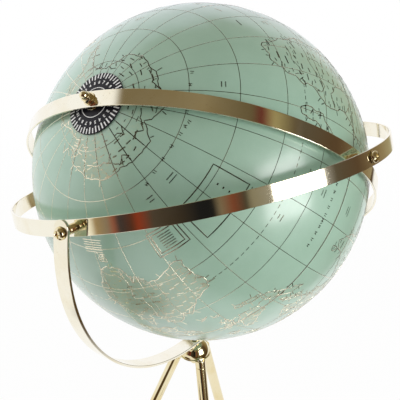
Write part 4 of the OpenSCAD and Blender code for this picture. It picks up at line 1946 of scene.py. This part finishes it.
    def _stamp(self, name: str) -> None:
        """Makes all noted bars as one piece and settles it."""
        units = np.array([bar[0] / np.linalg.norm(bar[0]) for bar in self.bars])
        clear = np.abs(units @ self.chart.north) < math.cos(self.pole_gap)
        units = units[clear]
        alongs = np.array([bar[1] for bar in self.bars])[clear]
        sizes = np.array([(bar[2], bar[3], self.thickness * 2) for bar in self.bars])[clear]
        mesh = bpy.data.meshes.new(name)
        mesh.from_pydata([tuple(p) for p in self.chart.spot(units)], [], [])
        for label, rows in (("outward", units), ("along", alongs), ("size", sizes)):
            made = mesh.attributes.new(label, "FLOAT_VECTOR", "POINT")
            made.data.foreach_set("vector", rows.ravel())
        source = add_object(name, mesh)
        made = self.recipes.bars.apply(source, name, {"Finish": self.finishes.foil})
        settle(made, Body.GLOBE)
        self.bars.clear()


# ---------------------------------------------------------------------- dial


@dataclass
class HourDial:
    """The black hour dial round the south pole, with white ticks and numbers."""

    axes: Axes
    repeater: Repeater
    finishes: Finishes
    radius: float = 22 * MM
    hole_r: float = 4.3 * MM
    low: float = GLOBE_R + 0.3 * MM
    thickness: float = 1 * MM
    ink: float = 0.05 * MM
    hours: int = 12
    number_h: float = 3.1 * MM
    number_bold: float = 0.1 * MM
    # Places on the face, as shares of its radius.
    circle_at: float = 0.47
    number_at: float = 0.665
    tick_end: float = 0.985

    def build(self) -> None:
        """Builds and settles the disc and its print."""
        turned = unplaced(self.axes.polar_frame())
        self.axis = turned.col[0].xyz
        self.place = x_end(turned @ Matrix.Rotation(math.pi, 4, "Z"))
        world = Matrix.Translation(self.axes.centre) @ self.place
        high = self.low + self.thickness
        section = [
            (self.hole_r, self.low, 0.15 * MM),
            (self.radius, self.low, 0.15 * MM),
            (self.radius, high, 0.25 * MM),
            (self.hole_r, high, 0.15 * MM),
        ]
        disc = Shape().lathe(rounded(section, True, 3), world, 180, loop=True, warp=self._cup)
        settle(disc.make("hour_dial", self.finishes.lacquer), Body.DIAL, ["hour_dial"])
        self._ring(world, high)
        self._ticks(high)
        self._numbers(high)

    def _cup(self, point: Vector) -> Vector:
        """Bends a point of the flat dial to the globe's curve."""
        drop = point.z - math.sqrt(max(point.z**2 - point.x**2 - point.y**2, 0.0))
        return Vector((point.x, point.y, point.z - drop))

    def _bend(self, mesh: bpy.types.Mesh, turned: Matrix) -> None:
        """Bends a print that is drawn on the flat to the curve, then places it."""
        for vertex in mesh.vertices:
            vertex.co = turned @ self._cup(vertex.co)

    def _ring(self, world: Matrix, high: float) -> None:
        """Prints the circle inside the numbers."""
        r = self.radius * self.circle_at
        top = high + self.ink
        section = [(r, high - self.ink), (r + 0.5 * MM, high - self.ink), (r + 0.5 * MM, top), (r, top)]
        made = Shape().lathe(section, world, 120, loop=True, warp=self._cup)
        made = made.make("dial_circle", self.finishes.ink)
        settle(made, Body.DIAL)

    def _ticks(self, high: float) -> None:
        """Prints the ticks round the rim: full hours longer, half hours shorter."""
        self._tick("dial_ticks_hour", 24, 0.79, 1.0 * MM, 0.0, high)
        self._tick("dial_ticks_half", 24, 0.83, 0.85 * MM, TAU / 48, high)

    def _tick(
        self, name: str, count: int, inner: float, width: float, offset: float, high: float
    ) -> None:
        """Prints one set of ticks.

        Args:
            name: The piece's name.
            count: How many ticks.
            inner: Where a tick starts, as a share of the dial's radius.
            width: Width of a tick.
            offset: Angle of the first.
            high: Height of the dial's face.
        """
        mesh = bpy.data.meshes.new(name)
        build = bmesh.new()
        bmesh.ops.create_grid(build, x_segments=4, y_segments=1, size=0.5)
        grown = bmesh.ops.extrude_face_region(build, geom=build.faces[:])["geom"]
        lifted = [item for item in grown if isinstance(item, bmesh.types.BMVert)]
        bmesh.ops.translate(build, vec=(0, 0, 1), verts=lifted)
        bmesh.ops.recalc_face_normals(build, faces=build.faces)
        start, end = self.radius * inner, self.radius * self.tick_end
        size = Matrix.Diagonal((end - start, width, self.ink * 2, 1.0))
        spot = Matrix.Translation(((start + end) / 2, 0, high - self.ink))
        bmesh.ops.transform(build, matrix=spot @ size, verts=build.verts)
        build.to_mesh(mesh)
        build.free()
        self._bend(mesh, self.place @ Matrix.Rotation(offset, 4, "Z"))
        source = add_object(name, mesh)
        made = self.repeater.turn(source, name, self.axis, self.finishes.ink, count)
        settle(made, Body.DIAL)

    def _numbers(self, high: float) -> None:
        """Prints the hours twice round, each number facing the rim."""
        joined = bmesh.new()
        for hour in range(1, self.hours + 1):
            curve = bpy.data.curves.new(f"hour_{hour}", "FONT")
            curve.body = str(hour)
            curve.size = self.number_h
            curve.align_x = "CENTER"
            curve.align_y = "CENTER"
            curve.offset = self.number_bold
            curve.extrude = self.ink
            curve.resolution_u = 2
            words = add_object(curve.name, curve)
            bpy.context.view_layer.update()
            depsgraph = bpy.context.evaluated_depsgraph_get()
            flat = bpy.data.meshes.new_from_object(words.evaluated_get(depsgraph))
            bpy.data.objects.remove(words)
            turn = Matrix.Rotation(-hour * math.pi / self.hours, 4, "Z")
            spot = Matrix.Translation((0, self.radius * self.number_at, high))
            flat.transform(spot)
            self._bend(flat, self.place @ turn)
            joined.from_mesh(flat)
        mesh = bpy.data.meshes.new("dial_numbers")
        joined.to_mesh(mesh)
        joined.free()
        source = add_object("dial_numbers", mesh)
        made = self.repeater.turn(source, "dial_numbers", self.axis, self.finishes.ink, 2)
        settle(made, Body.DIAL)


# -------------------------------------------------------------------- studio


@dataclass
class Studio:
    """The pale floor, the soft lamps, the room that metal mirrors, and the camera."""

    centre: Vector
    front: float = math.radians(-145.6)
    floor_r: float = 1.15
    clear_r: float = 0.4
    lens_mm: float = 85.83
    eye: Corner = (-0.53052, -0.36317, 0.31659)
    aim: Corner = (0.0, 0.0, -0.0235)
    roll: float = math.radians(2.1)

    def build(self) -> None:
        """Builds the whole setting."""
        self._floor()
        self._room()
        key_place = self._toward(math.radians(55), 8.5, 1.25)
        self._lamp("key_softbox", "RECTANGLE", key_place, 0.70, 10.0).data.size_y = 0.78
        # Metal mirrors neither the fill nor the lamp overhead.
        fill_place = self._toward(math.radians(-105), 12.0, 1.6)
        self._lamp("left_fill", "SQUARE", fill_place, 1.2, 17.0).visible_glossy = False
        overhead = self.centre + Vector((0.2, 0.5, 1.7))
        self._lamp("top_light", "DISK", overhead, 1.6, 3.5).visible_glossy = False
        self._camera()
        bpy.context.scene.view_settings.view_transform = "Standard"

    def _floor(self) -> None:
        """Makes the floor, white to the camera but for shadows.

        Metal mirrors it white too, but with a painted reflection: dark brown at one edge and in one
        patch, seen only by mirrored rays.
        """
        rings = [(0.0, 0.0), (self.clear_r, 0.0), (self.floor_r, 0.0)]
        material = bpy.data.materials.new("pale_floor")
        material.use_nodes = True
        graph = Graph(material.node_tree)
        place = graph.object_place()
        radius = graph.vector_math("LENGTH", place, output="Value")
        edge = graph.step(radius, self.clear_r, self.floor_r * 0.8)
        across = graph.node("ShaderNodeSeparateXYZ", {}, {0: place}, "Y")
        # Painted reflection: a dark brown front edge and one round patch that only mirrored rays see,
        # darkening what the legs and yoke mirror.
        beside = graph.vector_math("SUBTRACT", place, (-0.25, 0.07, 0.0))
        gap = graph.vector_math("LENGTH", beside, output="Value")
        pale = graph.step(across, -0.27, -0.17) * graph.step(gap, 0.10, 0.14)
        painted_reflection = graph.blend(pale, (0.09, 0.055, 0.022), WHITE)
        grain = graph.blend(graph.noise(place, 60.0), (0.8, 0.8, 0.8), (0.84, 0.84, 0.84))
        diffuse = graph.node("ShaderNodeBsdfDiffuse", {}, {"Color": grain})
        lit = graph.mix(graph.ray("Glossy"), diffuse, graph.glow("Emission", painted_reflection))
        share = graph.ray("Camera") * (0.965 + edge * 0.035)
        mixed = graph.mix(share, lit, graph.glow("Emission", WHITE))
        graph.node("ShaderNodeOutputMaterial", {}, {"Surface": mixed}, None)
        made = Shape().lathe(rings, segments=128).make("floor", material)

    def _room(self) -> None:
        """Makes the world: white behind, a dim warm room in front, a tan ceiling."""
        world = bpy.data.worlds.new("studio_room")
        world.use_nodes = True
        bpy.context.scene.world = world
        graph = Graph(world.node_tree)
        ray = graph.node("ShaderNodeTexCoord", output="Generated")
        split = {
            axis: graph.node("ShaderNodeSeparateXYZ", {}, {0: ray}, axis) for axis in ("X", "Y", "Z")
        }
        bearing = graph.math("ARCTAN2", split["Y"], split["X"]) - self.front
        share = graph.math("FRACT", bearing / TAU + 1.5)
        height = graph.math("ARCSINE", split["Z"]) * (180 / math.pi)
        left, right, ceiling = (
            graph.node("ShaderNodeValToRGB", {"stops": stops}, {0: share})
            for stops in (self._left_wall(), self._right_wall(), self._ceiling())
        )
        half = graph.math("GREATER_THAN", share, 0.5)
        wall = graph.blend(half, left, right)
        room = graph.blend(graph.step(height + half * 12.0, 40.0, 46.0), wall, ceiling)
        room = graph.blend(1 - graph.step(height, -24.0, -17.0), room, WHITE)
        plain = graph.glow("Background", (1.0, 0.98, 0.93), 0.43)
        lit = graph.mix(graph.ray("Glossy"), plain, graph.glow("Background", room))
        shown = graph.mix(graph.ray("Camera"), lit, graph.glow("Background", WHITE))
        graph.node("ShaderNodeOutputWorld", {}, {"Surface": shown}, None)

    @staticmethod
    def _left_wall() -> list[tuple[float, Colour]]:
        """White, brown, red and dark bands: 0 behind, 0.5 in front."""
        return [
            (0.0, (1.04, 1.05, 1.12)),
            (0.27, (1.0, 1.0, 1.0)),
            (0.33, (0.9, 0.85, 0.7)),
            (0.34, (0.35, 0.25, 0.12)),
            (0.36, (0.25, 0.2, 0.14)),
            (0.37, (0.3, 0.1, 0.06)),
            (0.38, (0.04, 0.04, 0.04)),
            (0.40, (0.09, 0.03, 0.015)),
            (0.41, (0.25, 0.04, 0.015)),
            (0.43, (0.07, 0.055, 0.04)),
            (0.47, (0.04, 0.03, 0.02)),
            (0.5, (0.01, 0.01, 0.01)),
        ]

    @staticmethod
    def _right_wall() -> list[tuple[float, Colour]]:
        """Dark, tan, grey, brown and white bands: 0.5 in front, 1 behind."""
        return [
            (0.5, (0.01, 0.01, 0.01)),
            (0.52, (0.01, 0.01, 0.01)),
            (0.53, (0.2, 0.16, 0.1)),
            (0.55, (0.2, 0.06, 0.03)),
            (0.57, (0.06, 0.05, 0.03)),
            (0.58, (0.25, 0.22, 0.14)),
            (0.70, (0.4, 0.38, 0.34)),
            (0.73, (0.1, 0.08, 0.05)),
            (0.78, (0.1, 0.06, 0.03)),
            (0.85, (0.27, 0.2, 0.1)),
            (0.91, (0.4, 0.35, 0.2)),
            (0.93, (1.0, 1.0, 1.0)),
            (1.0, (1.04, 1.05, 1.12)),
        ]

    @staticmethod
    def _ceiling() -> list[tuple[float, Colour]]:
        """A tan ceiling with one red band and a dark one."""
        return [
            (0.0, (0.25, 0.2, 0.1)),
            (0.12, (0.38, 0.33, 0.2)),
            (0.25, (0.2, 0.16, 0.09)),
            (0.5, (0.25, 0.2, 0.11)),
            (0.65, (0.13, 0.1, 0.05)),
            (0.67, (0.13, 0.02, 0.02)),
            (0.69, (0.35, 0.3, 0.14)),
            (0.72, (0.12, 0.09, 0.05)),
            (0.75, (0.08, 0.06, 0.04)),
            (0.82, (0.26, 0.2, 0.12)),
            (1.0, (0.25, 0.2, 0.1)),
        ]

    def _toward(self, bearing: float, height: float, distance: float) -> Vector:
        """A place at a bearing from the front, a height angle and a distance."""
        turn, rise = self.front + bearing, math.radians(height)
        way = Vector((math.cos(turn) * math.cos(rise), math.sin(turn) * math.cos(rise), math.sin(rise)))
        return self.centre + way * distance

    def _lamp(
        self, name: str, shape: str, place: Vector, size: float, power: float
    ) -> bpy.types.Object:
        """Hangs an area lamp, unseen by the camera, that faces the globe.

        Args:
            name: The lamp's name.
            shape: Its shape, such as SQUARE or DISK.
            place: Where it hangs.
            size: Its side or diameter.
            power: Its power in watts.

        Returns:
            The lamp's object.
        """
        lamp = bpy.data.lights.new(name, "AREA")
        lamp.shape = shape
        lamp.size = size
        lamp.energy = power
        made = add_object(name, lamp)
        made.location = place
        aim = self.centre - made.location
        made.rotation_euler = aim.to_track_quat("-Z", "Y").to_euler()
        made.visible_camera = False
        return made

    def _camera(self) -> None:
        """Sets the camera, looking down at the globe from the front left."""
        lens = bpy.data.cameras.new("camera")
        lens.lens = self.lens_mm
        lens.sensor_width = 36.0
        lens.clip_start, lens.clip_end = 0.01, 50.0
        made = add_object("camera", lens)
        made.location = self.centre + Vector(self.eye)
        way = self.centre + Vector(self.aim) - made.location
        turned = way.to_track_quat("-Z", "Y").to_matrix().to_4x4()
        roll = Matrix.Rotation(self.roll, 4, "Z")
        made.matrix_world = Matrix.Translation(made.location) @ turned @ roll
        bpy.context.scene.camera = made


# ---------------------------------------------------------------------- main


def main() -> None:
    """Builds every sub-assembly in order."""
    logging.basicConfig(level=logging.INFO, format="%(message)s")
    axes = Axes.from_joints()
    finishes = Finishes(axes.centre)
    recipes = Recipes()
    repeater = Repeater(recipes, axes.centre)
    Tripod(finishes).build()
    Yoke(axes, finishes).build()
    Gimbal(
        "outer",
        Body.OUTER,
        axes.outer_frame(),
        x_end,
        repeater,
        finishes,
        strip=OUTER_STRIP,
        carrier=YOKE_STRIP,
        joint_at=math.radians(-44),
    ).build()
    Gimbal(
        "inner",
        Body.INNER,
        axes.inner_frame(),
        y_end,
        repeater,
        finishes,
        strip=INNER_STRIP,
        carrier=OUTER_STRIP,
        joint_at=math.radians(45),
    ).build()
    Poles(axes, repeater, finishes).build()
    chart = MapFrame(axes, GLOBE_R)
    geography = Geography(chart)
    Globe(axes, finishes, geography).build()
    MapPrint(chart, geography, recipes, finishes).build()
    HourDial(axes, repeater, finishes).build()
    for node in ("leg_studs", "axle_rod"):
        dress(node, finishes.steel)
    Studio(axes.centre).build()


if __name__ == "__main__":
    main()
